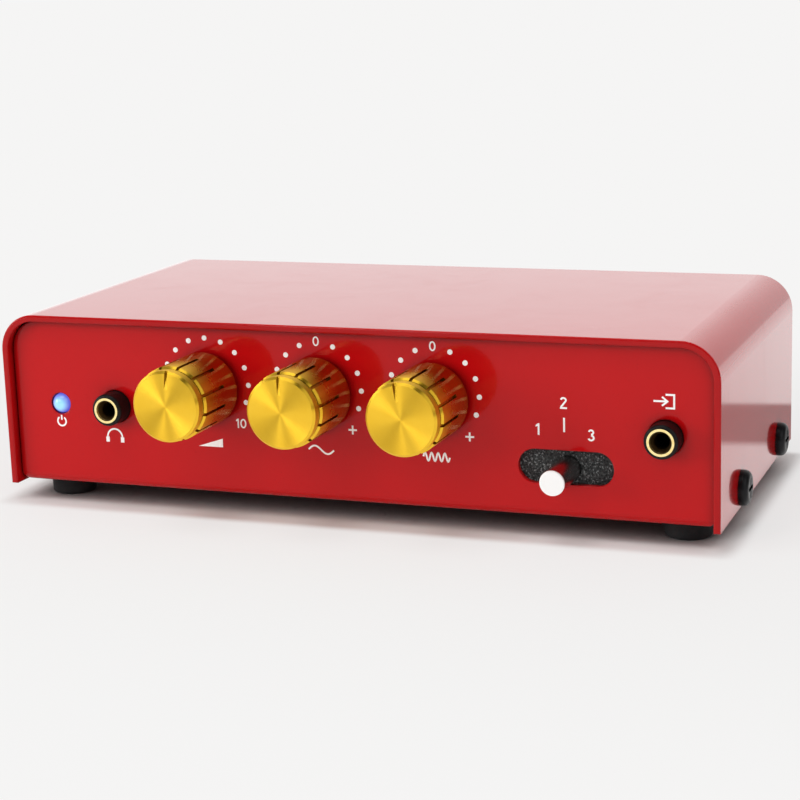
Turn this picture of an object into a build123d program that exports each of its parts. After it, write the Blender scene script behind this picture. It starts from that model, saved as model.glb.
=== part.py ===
from build123d import *
import os

# Phono preamplifier: a folded sheet chassis under a U-shaped cover, three tone knobs, a source
# lever and two jacks in front, signal sockets, low-voltage inlet and ground terminal behind.
#
# Millimetres. X runs from the left side to the right as seen from the front, Y from the front to
# the back and Z up from the bench. Everything is built with X from the middle of the case and Y
# from the cover's front edge. keep() then moves it so that Y is counted from the middle of the
# whole depth, knobs and sockets included.

# Case
CASE_WIDTH = 177.8
CASE_DEPTH = 88.9
COVER_HEIGHT = 42.65
SHEET = 1.6
COVER_CORNER_R = 9.0
COVER_EDGE_R = 0.35
COVER_GAP = 0.2         # between the cover and the chassis
PANEL_SETBACK = 2.5     # the cover stands this far past the front and rear panels
CHASSIS_RISE = 0.3      # the chassis underside lies this far above the cover's lower edges
FOLD_R = 2.4            # outer radius of the chassis folds
LIP_HEIGHT = 9.0        # the chassis side lips that take the cover screws
LIP_RELIEF = 2.0        # gap between a side lip and the front or rear panel

# Feet
FOOT_D = 11.0
FOOT_HEIGHT = 4.8
FOOT_FROM_SIDE = 10.0
FOOT_FROM_END = 13.5
FOOT_EDGE_R = 0.8

# Screws: clearances of their holes, then the two kinds
CLEARANCE_HOLE_GAP = 0.3
THREAD_GAP = 0.04
COVER_SCREW_HEIGHT = 4.6    # above the cover's lower edge
COVER_SCREW_FRONT = 22.8
COVER_SCREW_PITCH = 47.0
COVER_SCREW_HEAD_D = 8.3
COVER_SCREW_HEAD_HEIGHT = 2.25
COVER_SCREW_DOME_R = 1.5
COVER_SCREW_D = 4.0
COVER_SCREW_LENGTH = 6.0
SMALL_SCREW_HEAD_D = 5.6
SMALL_SCREW_HEAD_HEIGHT = 2.0
SMALL_SCREW_DOME_R = 1.1
SMALL_SCREW_D = 3.0
SMALL_SCREW_LENGTH = 4.5
RECESS_DEPTH = 1.1
RECESS_SHARE = 0.56     # length of the cross recess over the head's diameter
RECESS_WIDTH = 0.9

# Knobs
CONTROLS = ("volume", "bass", "treble")
KNOB_ROW_X = -6.15
KNOB_PITCH = 28.65
KNOB_HEIGHT = 26.45     # above the cover's lower edge
KNOB_REST_TURN = {"volume": 5.0, "bass": -1.5, "treble": -9.5}
KNOB_STANDOFF = 1.5
KNOB_LENGTH = 20.1
KNOB_FACE_D = 16.7
KNOB_BODY_D = 17.6
KNOB_CAP_LENGTH = 2.6
KNOB_GROOVE_WIDTH = 0.5
KNOB_GROOVE_DEPTH = 0.45
KNOB_RIM_CHAMFER = 0.5
KNOB_FACE_CHAMFER = 0.55
KNOB_REAR_CHAMFER = 0.3
KNOB_BORE_D = 13.6
KNOB_FACE_WALL = 3.9
KNOB_RECESS_DEPTH = 4.0     # open depth behind the core, over the panel nut
FLUTE_COUNT = 12
FLUTE_FIRST_TURN = {"volume": 9.0, "bass": 21.5, "treble": 19.5}     # from the pointer
FLUTE_LENGTH = 10.5
FLUTE_WIDTH = 0.75
FLUTE_DEPTH = 0.7
POINTER_WIDTH = 0.8
POINTER_DEPTH = 1.2
POINTER_LENGTH = 4.2
CORE_GAP = 0.03

# Potentiometers
POT_SIDE = 14.0
POT_PLATE = 1.4
POT_CASE_DEPTH = 7.2
POT_CAVITY_D = 11.2
POT_CAVITY_DEPTH = 5.6
POT_ROTOR_D = 10.2
POT_ROTOR_THICK = 2.2
POT_ELEMENT_D = 11.0
POT_ELEMENT_THICK = 1.0
BUSHING_D = 7.0
BUSHING_LENGTH = 6.0
SHAFT_D = 6.0
SHAFT_LENGTH = 15.0     # from the plate's front
SHAFT_FLAT_LENGTH = 7.0
SHAFT_FLAT_OFFSET = 1.5     # from the axis
SHAFT_RUNNING_GAP = 0.05
PLAY = 0.3              # between parts that move past each other without guiding
OVERCUT = 1.0           # cutters run this far past the faces they open
WASHER_D = 11.0
WASHER_THICK = 0.5
NUT_FLATS = 10.0
NUT_THICK = 2.0
PANEL_HOLE_GAP = 0.15
PIN_SIDE = 0.7
PIN_HOLE_GAP = 0.15
PIN_TAIL = 1.5          # pins stand out of the far side of their board by this
POT_PIN_PITCH = 5.0
POT_PIN_DROP = 5.0
POT_TO_BOARD = 0.8

# Jacks
HEADPHONE_FROM_SIDE = 29.3      # from the left side
LINE_JACK_FROM_SIDE = 12.7      # from the right side
JACK_HEIGHT = 20.5
JACK_BARREL_D = 7.8
JACK_BARREL_EDGE_R = 0.7
JACK_REACH = 4.9
JACK_BODY_SIDE = 10.0
JACK_BODY_SETBACK = 2.4         # from the panel's back to the square body
JACK_RING_D = 6.2
JACK_RING_LENGTH = 4.0
JACK_RING_PROUD = 0.15
JACK_MOUTH_D = 5.1
JACK_MOUTH_DEPTH = 1.6
JACK_BORE_D = 3.6
JACK_BORE_DEPTH = 14.4
JACK_BLADE_OFFSET = 3.0
JACK_BLADE_LENGTH = 5.5
JACK_BLADE_WIDTH = 1.3
JACK_BLADE_THICK = 0.5

# Power indicator
LED_FROM_SIDE = 14.15           # from the left side
LED_HEIGHT = 20.5
LED_D = 5.0
LED_LENGTH = 8.6
LED_REACH = 1.3
LED_FLANGE_D = 5.8
LED_FLANGE_THICK = 1.0
LED_LEAD_PITCH = 2.54

# Source selector
SELECTOR_FROM_SIDE = 35.45      # from the right side
SLOT_HEIGHT = 12.25
SLOT_LENGTH = 22.2
SLOT_WIDTH = 7.9
LEVER_DROP = 0.7                # the lever's axis lies this far under the slot's middle
LEVER_D = 5.8
LEVER_REACH = 11.2
LEVER_EDGE_R = 0.25
LEVER_TRAVEL = 5.5              # each way
STRIP_THICK = 1.5
STRIP_OVERLAP = 0.65            # dust strip past the slot's edge
SWITCH_TO_STRIP = 0.6
SWITCH_WALL = 1.0
SWITCH_BACK_WALL = 1.4
SLIDER_LENGTH = 10.0
SLIDER_OVERLAP = 0.7            # slider past the window, above and below
SWITCH_PIN_PITCH = 4.0
SWITCH_PIN_COLUMN_COUNT = 4
SWITCH_PIN_ROW_OFFSET = 2.5

# Boards
BOARD = 1.6
STANDOFF_HEIGHT = 6.0
STANDOFF_D = 6.0
STANDOFF_FROM_EDGE = 12.0
CONTROL_BOARD_MARGIN = 2.0
CONTROL_BOARD_CLEARANCE = 3.0   # over the floor and under the cover
MAIN_BOARD_SIDE_CLEARANCE = 3.5
MAIN_BOARD_BACK_CLEARANCE = 1.0
BOARD_TO_BOARD = 2.0
HEADER_PIN_COUNT = 10
HEADER_PITCH = 2.54
HEADER_THICK = 2.5
HEADER_INSET = 0.5
HEADER_LEG = 0.9                # from the header's back to its upright legs

# Parts on the main board, in rows from front to back
ROW_COUNT = 4
RESISTOR_ROW, OP_AMP_ROW, FILM_ROW, ELECTROLYTIC_ROW = range(ROW_COUNT)
RESISTOR_COUNT = 12
RESISTOR_PITCH = 6.0
RESISTOR_D = 2.3
RESISTOR_LENGTH = 6.3
RESISTOR_SPAN = 9.0
RESISTOR_LEAD_D = 0.6
OP_AMP_COUNT = 3
OP_AMP_PITCH = 30.0
OP_AMP_LENGTH = 9.4
OP_AMP_WIDTH = 6.4
OP_AMP_THICK = 3.3
OP_AMP_STANDOFF = 0.5
OP_AMP_LEG_PITCH = 2.54
OP_AMP_SIDE_LEG_COUNT = 4
OP_AMP_LEG_SPAN = 7.6
FILM_COUNT = 6
FILM_PITCH = 13.0
FILM_WIDTH = 7.2
FILM_THICK = 3.6
FILM_HEIGHT = 8.0
ELECTROLYTIC_COUNT = 5
ELECTROLYTIC_PITCH = 14.0
ELECTROLYTIC_D = 8.0
ELECTROLYTIC_HEIGHT = 12.0
ELECTROLYTIC_EDGE_R = 0.7
REGULATOR_FROM_EDGE = 30.0
REGULATOR_WIDTH = 10.0
REGULATOR_THICK = 4.5
REGULATOR_HEIGHT = 9.0
REGULATOR_TAB_HEIGHT = 6.5
REGULATOR_TAB_THICK = 1.3
REGULATOR_TAB_HOLE_D = 3.6
REGULATOR_LEG_LENGTH = 4.0

# Sockets behind: three stacked pairs, the left channel over the right
SOCKET_PLACES = {"phono_in": -44.0, "line_in": -18.0, "line_out": 14.0}
SOCKET_LOW_HEIGHT = 6.6         # lower axis above the main board
SOCKET_PITCH = 13.6
SOCKET_HOUSING_WIDTH = 12.0
SOCKET_HOUSING_DEPTH = 12.0
SOCKET_EAR_OFFSET = 9.5         # from the pair's axes to the fixing screw beside them
SOCKET_EAR_SIDE = 7.0
SOCKET_EAR_DEPTH = 6.0
SOCKET_BOSS_D = 10.0
SOCKET_BOSS_PROUD = 0.6
SOCKET_SHELL_D = 8.3
SOCKET_SHELL_WALL = 0.5
SOCKET_REACH = 9.5
SOCKET_CORE_RECESS = 1.2
SOCKET_CONTACT_D = 4.0
SOCKET_CONTACT_BORE_D = 3.3
SOCKET_CONTACT_RECESS = 1.0
SOCKET_GAP = 0.03
SOCKET_RIM_CHAMFER = 0.15

# Low-voltage inlet
INLET_FROM_SIDE = 22.9          # from the right side
INLET_WIDTH = 9.0
INLET_HEIGHT = 11.0
INLET_DEPTH = 14.0
INLET_PROUD = 0.5
INLET_AXIS_HEIGHT = 6.5         # above the main board
INLET_BORE_D = 6.2
INLET_BORE_DEPTH = 9.5
INLET_PIN_D = 2.1
INLET_PIN_ROOT_D = 3.0
INLET_PIN_RECESS = 0.8
INLET_PIN_TIP_R = 0.8
INLET_WINDOW_GAP = 0.2

# Ground terminal
GROUND_FROM_SIDE = 22.9         # from the left side
GROUND_HEIGHT = 16.5
GROUND_POST_D = 4.0
GROUND_POST_REACH = 9.0
GROUND_POST_INSIDE = 3.0
GROUND_HEAD_FLATS = 7.0
GROUND_HEAD_THICK = 2.5
GROUND_COLLAR_D = 9.0
GROUND_COLLAR_THICK = 1.0
GROUND_THREAD_GAP = 0.05
GROUND_WASHER_D = 8.6
GROUND_WASHER_THICK = 0.8
GROUND_SEAT_GAP = 0.1
GROUND_NUT_D = 10.0
GROUND_NUT_THICK = 5.0
GROUND_NUT_CHAMFER = 0.4
KNURL_COUNT = 20
KNURL_D = 1.0

# Heights and planes that several pieces share
COVER_BOTTOM_Z = FOOT_HEIGHT - CHASSIS_RISE
COVER_TOP_Z = COVER_BOTTOM_Z + COVER_HEIGHT
WALL_TOP_Z = COVER_TOP_Z - SHEET - COVER_GAP
FLOOR_Z = FOOT_HEIGHT + SHEET
CHASSIS_HALF = CASE_WIDTH / 2 - SHEET - COVER_GAP
PANEL_Y = PANEL_SETBACK
PANEL_BACK_Y = PANEL_Y + SHEET
REAR_Y = CASE_DEPTH - PANEL_SETBACK
REAR_INSIDE_Y = REAR_Y - SHEET

KNOB_Z = COVER_BOTTOM_Z + KNOB_HEIGHT
KNOB_BACK_Y = PANEL_Y - KNOB_STANDOFF
KNOB_FACE_Y = KNOB_BACK_Y - KNOB_LENGTH
KNOB_FLOOR_Y = KNOB_BACK_Y - KNOB_RECESS_DEPTH
POT_PLATE_BACK_Y = PANEL_BACK_Y + POT_PLATE
POT_CASE_BACK_Y = POT_PLATE_BACK_Y + POT_CASE_DEPTH
SHAFT_TIP_Y = PANEL_BACK_Y - SHAFT_LENGTH
SHAFT_FLAT_Y = SHAFT_TIP_Y + SHAFT_FLAT_LENGTH

CONTROL_BOARD_Y = POT_CASE_BACK_Y + POT_TO_BOARD
CONTROL_BOARD_BACK_Y = CONTROL_BOARD_Y + BOARD
MAIN_BOARD_Z = FLOOR_Z + STANDOFF_HEIGHT
MAIN_BOARD_TOP_Z = MAIN_BOARD_Z + BOARD
MAIN_BOARD_FRONT_Y = CONTROL_BOARD_BACK_Y + BOARD_TO_BOARD
MAIN_BOARD_BACK_Y = REAR_INSIDE_Y - MAIN_BOARD_BACK_CLEARANCE
MAIN_BOARD_HALF = CHASSIS_HALF - SHEET - MAIN_BOARD_SIDE_CLEARANCE
HEADER_BACK_Y = MAIN_BOARD_FRONT_Y + HEADER_INSET + HEADER_THICK
HEADER_LEG_Y = HEADER_BACK_Y + HEADER_LEG
HEADER_Z = MAIN_BOARD_TOP_Z + HEADER_THICK / 2
SOCKET_FRONT_Y = REAR_INSIDE_Y - SOCKET_HOUSING_DEPTH

HEADPHONE_X = HEADPHONE_FROM_SIDE - CASE_WIDTH / 2
LINE_JACK_X = CASE_WIDTH / 2 - LINE_JACK_FROM_SIDE
JACK_Z = COVER_BOTTOM_Z + JACK_HEIGHT
JACK_TIP_Y = PANEL_Y - JACK_REACH
JACK_BODY_Y = PANEL_BACK_Y + JACK_BODY_SETBACK
LED_X = LED_FROM_SIDE - CASE_WIDTH / 2
LED_Z = COVER_BOTTOM_Z + LED_HEIGHT
LED_TIP_Y = PANEL_Y - LED_REACH
LED_BASE_Y = LED_TIP_Y + LED_LENGTH

SELECTOR_X = CASE_WIDTH / 2 - SELECTOR_FROM_SIDE
SLOT_Z = COVER_BOTTOM_Z + SLOT_HEIGHT
LEVER_Z = SLOT_Z - LEVER_DROP
LEVER_TIP_Y = PANEL_Y - LEVER_REACH
STRIP_Y = PANEL_BACK_Y + PLAY
STRIP_BACK_Y = STRIP_Y + STRIP_THICK
SWITCH_Y = STRIP_BACK_Y + SWITCH_TO_STRIP
SLIDER_Y = SWITCH_Y + SWITCH_WALL + PLAY
SLIDER_BACK_Y = CONTROL_BOARD_Y - SWITCH_BACK_WALL - PLAY
WINDOW_HEIGHT = LEVER_D + 2 * PLAY
SLIDER_HEIGHT = WINDOW_HEIGHT + 2 * SLIDER_OVERLAP
SWITCH_CAVITY_LENGTH = SLIDER_LENGTH + 2 * (LEVER_TRAVEL + PLAY)
SWITCH_CAVITY_HEIGHT = SLIDER_HEIGHT + 2 * PLAY

SOCKET_AXES_Z = [MAIN_BOARD_TOP_Z + SOCKET_LOW_HEIGHT + SOCKET_PITCH * row for row in (0, 1)]
SOCKET_BOSS_Y = REAR_Y + SOCKET_BOSS_PROUD
SOCKET_END_Y = REAR_Y + SOCKET_REACH
SOCKET_CORE_END_Y = SOCKET_END_Y - SOCKET_CORE_RECESS
SOCKET_CONTACT_END_Y = SOCKET_CORE_END_Y - SOCKET_CONTACT_RECESS
INLET_X = CASE_WIDTH / 2 - INLET_FROM_SIDE
INLET_Z = MAIN_BOARD_TOP_Z + INLET_AXIS_HEIGHT
INLET_END_Y = REAR_Y + INLET_PROUD
GROUND_X = GROUND_FROM_SIDE - CASE_WIDTH / 2
GROUND_Z = COVER_BOTTOM_Z + GROUND_HEIGHT
GROUND_POST_END_Y = REAR_Y + GROUND_POST_REACH
GROUND_WASHER_Y = REAR_Y + GROUND_COLLAR_THICK + GROUND_SEAT_GAP
GROUND_NUT_Y = GROUND_WASHER_Y + GROUND_WASHER_THICK

# The knobs reach furthest forward, the sockets or the ground post furthest back
MIDDLE_Y = (KNOB_FACE_Y + max(SOCKET_END_Y, GROUND_POST_END_Y)) / 2


def block(x, y, z):
    """A box that spans a (low, high) pair along each axis."""
    spans = (x, y, z)
    middle = [(low + high) / 2 for low, high in spans]
    return Pos(*middle) * Box(*[high - low for low, high in spans])


def bar(x, z, y0, y1, width, height):
    """A rectangular bar along Y about the axis through x, z."""
    return block((x - width / 2, x + width / 2), (y0, y1), (z - height / 2, z + height / 2))


def rod(x, z, y0, y1, diameter):
    """A round bar along Y."""
    return Pos(x, (y0 + y1) / 2, z) * Rot(90, 0, 0) * Cylinder(diameter / 2, y1 - y0)


def pillar(x, y, z0, z1, diameter):
    """A round bar along Z."""
    return Pos(x, y, (z0 + z1) / 2) * Cylinder(diameter / 2, z1 - z0)


def obround(x, z, y0, y1, length, height):
    """A bar along Y with a slot's outline, long along X."""
    outline = Plane(origin=(x, y1, z), x_dir=(1, 0, 0), z_dir=(0, -1, 0)) * SlotOverall(length, height)
    return extrude(outline, amount=y1 - y0)


def hex_bar(x, z, y0, y1, flats):
    """A hexagonal bar along Y, by its width across flats."""
    outline = Plane(origin=(x, y1, z), x_dir=(1, 0, 0), z_dir=(0, -1, 0)) * RegularPolygon(
        flats / 2, 6, major_radius=False
    )
    return extrude(outline, amount=y1 - y0)


def turned(x, z, profile):
    """A solid of revolution about the Y axis through x, z, from (radius, y) points."""
    return Pos(x, 0, z) * revolve(make_face(Polyline(*profile, close=True)), Axis.Y, 360)


def spread(count, pitch):
    """Offsets of a centred row."""
    return [(i - (count - 1) / 2) * pitch for i in range(count)]


def knob_x(control):
    return KNOB_ROW_X + (CONTROLS.index(control) - 1) * KNOB_PITCH


def row_y(row):
    """Middle of a row of parts on the main board, between the header and the sockets."""
    pitch = (SOCKET_FRONT_Y - HEADER_LEG_Y) / ROW_COUNT
    return HEADER_LEG_Y + (row + 0.5) * pitch


def keep(name, *solids):
    """Write one node, as one solid or as a group of separate ones."""
    shape = solids[0] if len(solids) == 1 else Compound(list(solids))
    export_step(Pos(0, -MIDDLE_Y, 0) * shape, f"parts/{name}.step")


# Where the repeated pieces sit


def cover_screw_places():
    y_values = (COVER_SCREW_FRONT, COVER_SCREW_FRONT + COVER_SCREW_PITCH)
    return [(side, y) for side in (-1, 1) for y in y_values]


def foot_places():
    x = CASE_WIDTH / 2 - FOOT_FROM_SIDE
    return {
        "foot_front_left": (-x, FOOT_FROM_END),
        "foot_front_right": (x, FOOT_FROM_END),
        "foot_rear_left": (-x, CASE_DEPTH - FOOT_FROM_END),
        "foot_rear_right": (x, CASE_DEPTH - FOOT_FROM_END),
    }


def standoff_places():
    x = MAIN_BOARD_HALF - STANDOFF_FROM_EDGE
    y_values = (row_y(RESISTOR_ROW), row_y(ELECTROLYTIC_ROW))
    return [(side * x, y) for side in (-1, 1) for y in y_values]


def socket_axes():
    """(x, z) of the upper sockets, then of the lower ones."""
    low, high = SOCKET_AXES_Z
    return [(x, z) for z in (high, low) for x in SOCKET_PLACES.values()]


def socket_screw_places():
    """(x, z) of the screw beside each pair of sockets."""
    z = sum(SOCKET_AXES_Z) / len(SOCKET_AXES_Z)
    return [(x + SOCKET_EAR_OFFSET, z) for x in SOCKET_PLACES.values()]


def control_pin_places():
    pots = [
        (knob_x(control) + offset, KNOB_Z - POT_PIN_DROP, POT_CASE_BACK_Y)
        for control in CONTROLS
        for offset in spread(3, POT_PIN_PITCH)
    ]
    switch = [
        (SELECTOR_X + column, LEVER_Z + side * SWITCH_PIN_ROW_OFFSET, CONTROL_BOARD_Y)
        for column in spread(SWITCH_PIN_COLUMN_COUNT, SWITCH_PIN_PITCH)
        for side in (-1, 1)
    ]
    return pots + switch


def led_lead_places():
    return [LED_X + offset for offset in spread(2, LED_LEAD_PITCH)]


# Case


def lower_edges(solid):
    return solid.faces().sort_by(Axis.Z)[0].edges()


def chassis_tray():
    """One folded sheet: front panel, floor, rear panel and two low side lips."""
    outer = block((-CHASSIS_HALF, CHASSIS_HALF), (PANEL_Y, REAR_Y), (FOOT_HEIGHT, WALL_TOP_Z))
    outer = fillet(lower_edges(outer), FOLD_R)
    inside = CHASSIS_HALF - SHEET
    inner = block((-inside, inside), (PANEL_BACK_Y, REAR_INSIDE_Y), (FLOOR_Z, COVER_TOP_Z))
    inner = fillet(lower_edges(inner), FOLD_R - SHEET)
    tray = outer - inner
    lip_top = FOOT_HEIGHT + LIP_HEIGHT
    full_width = (-CASE_WIDTH / 2, CASE_WIDTH / 2)
    tray -= block(full_width, (PANEL_BACK_Y, REAR_INSIDE_Y), (lip_top, COVER_TOP_Z))
    for relief_y in (PANEL_BACK_Y, REAR_INSIDE_Y - LIP_RELIEF):
        tray -= block(full_width, (relief_y, relief_y + LIP_RELIEF), (FLOOR_Z, COVER_TOP_Z))
    top_corners = tray.edges().filter_by(Axis.Y).group_by(Axis.Z)[-1]
    tray = fillet(top_corners, COVER_CORNER_R - SHEET - COVER_GAP)
    for cutter in front_panel_holes() + rear_panel_holes() + lip_and_floor_holes():
        tray -= cutter
    return tray


def front_panel_holes():
    through = (PANEL_Y - SHEET, PANEL_BACK_Y + SHEET)
    gap = 2 * PANEL_HOLE_GAP
    holes = [rod(knob_x(control), KNOB_Z, *through, BUSHING_D + gap) for control in CONTROLS]
    holes += [rod(x, JACK_Z, *through, JACK_BARREL_D + gap) for x in (HEADPHONE_X, LINE_JACK_X)]
    holes.append(rod(LED_X, LED_Z, *through, LED_D + gap))
    holes.append(obround(SELECTOR_X, SLOT_Z, *through, SLOT_LENGTH, SLOT_WIDTH))
    return holes


def rear_panel_holes():
    through = (REAR_INSIDE_Y - SHEET, REAR_Y + SHEET)
    gap = 2 * PANEL_HOLE_GAP
    window = 2 * INLET_WINDOW_GAP
    holes = [rod(x, z, *through, SOCKET_BOSS_D + gap) for x, z in socket_axes()]
    holes += [rod(x, z, *through, SMALL_SCREW_D + gap) for x, z in socket_screw_places()]
    holes.append(rod(GROUND_X, GROUND_Z, *through, GROUND_POST_D + gap))
    holes.append(inlet_block(*through, window))
    return holes


def lip_and_floor_holes():
    thread = COVER_SCREW_D + 2 * THREAD_GAP
    z = COVER_BOTTOM_Z + COVER_SCREW_HEIGHT
    holes = []
    for side, y in cover_screw_places():
        holes.append(Pos(side * CHASSIS_HALF, y, z) * Rot(0, 90, 0) * Cylinder(thread / 2, 4 * SHEET))
    clearance = SMALL_SCREW_D + 2 * CLEARANCE_HOLE_GAP
    for x, y in standoff_places():
        holes.append(pillar(x, y, 0, MAIN_BOARD_Z, clearance))
    return holes


def top_cover():
    """U-shaped sheet over the chassis, open at both ends."""
    half = CASE_WIDTH / 2
    outer = block((-half, half), (0, CASE_DEPTH), (COVER_BOTTOM_Z, COVER_TOP_Z))
    outer = fillet(outer.edges().filter_by(Axis.Y).group_by(Axis.Z)[-1], COVER_CORNER_R)
    inside = half - SHEET
    beyond = SHEET
    inner = block(
        (-inside, inside), (-beyond, CASE_DEPTH + beyond), (COVER_BOTTOM_Z - beyond, COVER_TOP_Z - SHEET)
    )
    inner = fillet(inner.edges().filter_by(Axis.Y).group_by(Axis.Z)[-1], COVER_CORNER_R - SHEET)
    cover = outer - inner
    cover = fillet(cover.edges().group_by(Axis.Y)[0], COVER_EDGE_R)
    cover = fillet(cover.edges().group_by(Axis.Y)[-1], COVER_EDGE_R)
    clearance = COVER_SCREW_D + 2 * CLEARANCE_HOLE_GAP
    z = COVER_BOTTOM_Z + COVER_SCREW_HEIGHT
    for side, y in cover_screw_places():
        cover -= Pos(side * half, y, z) * Rot(0, 90, 0) * Cylinder(clearance / 2, 2 * SHEET + COVER_GAP)
    return cover


def foot(x, y):
    pad = pillar(x, y, 0, FOOT_HEIGHT, FOOT_D)
    return fillet(lower_edges(pad), FOOT_EDGE_R)


# Screws


def pan_screw(head_d, head_height, dome_r, shank_d, shank_length):
    """A pan-head screw along Z with a cross recess; the head's seat is at z = 0."""
    head = pillar(0, 0, 0, head_height, head_d)
    head = fillet(head.edges().group_by(Axis.Z)[-1], dome_r)
    screw = head + pillar(0, 0, -shank_length, 0, shank_d)
    arm = head_d * RECESS_SHARE / 2
    depth = (head_height - RECESS_DEPTH, head_height)
    screw -= block((-arm, arm), (-RECESS_WIDTH / 2, RECESS_WIDTH / 2), depth)
    screw -= block((-RECESS_WIDTH / 2, RECESS_WIDTH / 2), (-arm, arm), depth)
    return screw


def cover_screws():
    z = COVER_BOTTOM_Z + COVER_SCREW_HEIGHT
    screws = []
    for side, y in cover_screw_places():
        screw = pan_screw(
            COVER_SCREW_HEAD_D,
            COVER_SCREW_HEAD_HEIGHT,
            COVER_SCREW_DOME_R,
            COVER_SCREW_D,
            COVER_SCREW_LENGTH,
        )
        screws.append(Pos(side * CASE_WIDTH / 2, y, z) * Rot(0, side * 90, 0) * screw)
    return screws


def small_screw():
    return pan_screw(
        SMALL_SCREW_HEAD_D,
        SMALL_SCREW_HEAD_HEIGHT,
        SMALL_SCREW_DOME_R,
        SMALL_SCREW_D,
        SMALL_SCREW_LENGTH,
    )


def small_screws():
    """Board screws from above and below each standoff, and one screw to each socket housing."""
    screws = []
    for x, y in standoff_places():
        screws.append(Pos(x, y, MAIN_BOARD_TOP_Z) * small_screw())
        screws.append(Pos(x, y, FOOT_HEIGHT) * Rot(180, 0, 0) * small_screw())
    for x, z in socket_screw_places():
        screws.append(Pos(x, REAR_Y, z) * Rot(-90, 0, 0) * small_screw())
    return screws


# Knobs and potentiometers


def knob(control):
    """Aluminium shell: flat face, groove, chamfered rim, flutes and a pointer notch."""
    face_r = KNOB_FACE_D / 2
    body_r = KNOB_BODY_D / 2
    groove_r = face_r - KNOB_GROOVE_DEPTH
    bore_r = KNOB_BORE_D / 2
    groove_y = KNOB_FACE_Y + KNOB_CAP_LENGTH
    rim_y = groove_y + KNOB_GROOVE_WIDTH
    shell = turned(
        0,
        0,
        [
            (0, KNOB_FACE_Y),
            (face_r - KNOB_FACE_CHAMFER, KNOB_FACE_Y),
            (face_r, KNOB_FACE_Y + KNOB_FACE_CHAMFER),
            (face_r, groove_y),
            (groove_r, groove_y),
            (groove_r, rim_y),
            (body_r - KNOB_RIM_CHAMFER, rim_y),
            (body_r, rim_y + KNOB_RIM_CHAMFER),
            (body_r, KNOB_BACK_Y - KNOB_REAR_CHAMFER),
            (body_r - KNOB_REAR_CHAMFER, KNOB_BACK_Y),
            (bore_r, KNOB_BACK_Y),
            (bore_r, KNOB_FACE_Y + KNOB_FACE_WALL),
            (0, KNOB_FACE_Y + KNOB_FACE_WALL),
        ],
    )
    for i in range(FLUTE_COUNT):
        flute = block(
            (-FLUTE_WIDTH / 2, FLUTE_WIDTH / 2),
            (rim_y - KNOB_GROOVE_WIDTH / 2, rim_y + FLUTE_LENGTH),
            (body_r - FLUTE_DEPTH, body_r + FLUTE_DEPTH),
        )
        shell -= Rot(0, FLUTE_FIRST_TURN[control] + i * 360 / FLUTE_COUNT, 0) * flute
    shell -= pointer_notch(face_r)
    return Pos(knob_x(control), 0, KNOB_Z) * Rot(0, KNOB_REST_TURN[control], 0) * shell


def pointer_notch(face_r):
    """A notch that runs out of the face's edge at the top and gets shallower inwards."""
    start = face_r - POINTER_LENGTH
    beyond = face_r + OVERCUT
    corners = [
        (KNOB_FACE_Y, start),
        (KNOB_FACE_Y - OVERCUT, beyond),
        (KNOB_FACE_Y + POINTER_DEPTH, beyond),
    ]
    wedge = Polyline(*corners, close=True)
    sheet = Plane(origin=(-POINTER_WIDTH / 2, 0, 0), x_dir=(0, 1, 0), z_dir=(1, 0, 0)) * make_face(wedge)
    return extrude(sheet, amount=POINTER_WIDTH)


def shaft_section(y0, y1, flat_end_y, diameter):
    """The shaft's outline as a bar, with its flat as far back as flat_end_y."""
    flat_z = SHAFT_FLAT_OFFSET + (diameter - SHAFT_D) / 2
    flat = block((-diameter, diameter), (y0 - OVERCUT, flat_end_y), (flat_z, diameter))
    return rod(0, 0, y0, y1, diameter) - flat


def knob_core(control):
    """Plastic core pressed into the shell, with a bore that fits the shaft and its flat."""
    front_y = KNOB_FACE_Y + KNOB_FACE_WALL
    core = rod(0, 0, front_y, KNOB_FLOOR_Y, KNOB_BORE_D - 2 * CORE_GAP)
    bore_end_y = SHAFT_TIP_Y - PLAY
    bore_d = SHAFT_D + 2 * CORE_GAP
    core -= shaft_section(bore_end_y, KNOB_FLOOR_Y + OVERCUT, SHAFT_FLAT_Y - PLAY, bore_d)
    return Pos(knob_x(control), 0, KNOB_Z) * Rot(0, KNOB_REST_TURN[control], 0) * core


def pot_shaft(control):
    rotor_y = POT_PLATE_BACK_Y + PLAY
    shaft = shaft_section(SHAFT_TIP_Y, rotor_y, SHAFT_FLAT_Y, SHAFT_D)
    shaft += rod(0, 0, rotor_y, rotor_y + POT_ROTOR_THICK, POT_ROTOR_D)
    return Pos(knob_x(control), 0, KNOB_Z) * Rot(0, KNOB_REST_TURN[control], 0) * shaft


def pot_bushing(control):
    """Front plate with the threaded bushing that goes through the panel."""
    x = knob_x(control)
    plate = bar(x, KNOB_Z, PANEL_BACK_Y, POT_PLATE_BACK_Y, POT_SIDE, POT_SIDE)
    plate += rod(x, KNOB_Z, PANEL_BACK_Y - BUSHING_LENGTH, PANEL_BACK_Y, BUSHING_D)
    bore_d = SHAFT_D + 2 * SHAFT_RUNNING_GAP
    return plate - rod(x, KNOB_Z, PANEL_BACK_Y - BUSHING_LENGTH, POT_PLATE_BACK_Y, bore_d)


def pot_case(control):
    x = knob_x(control)
    case = bar(x, KNOB_Z, POT_PLATE_BACK_Y, POT_CASE_BACK_Y, POT_SIDE, POT_SIDE)
    return case - rod(x, KNOB_Z, POT_PLATE_BACK_Y, POT_PLATE_BACK_Y + POT_CAVITY_DEPTH, POT_CAVITY_D)


def pot_element(control):
    back_y = POT_PLATE_BACK_Y + POT_CAVITY_DEPTH
    return rod(knob_x(control), KNOB_Z, back_y - POT_ELEMENT_THICK, back_y, POT_ELEMENT_D)


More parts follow.
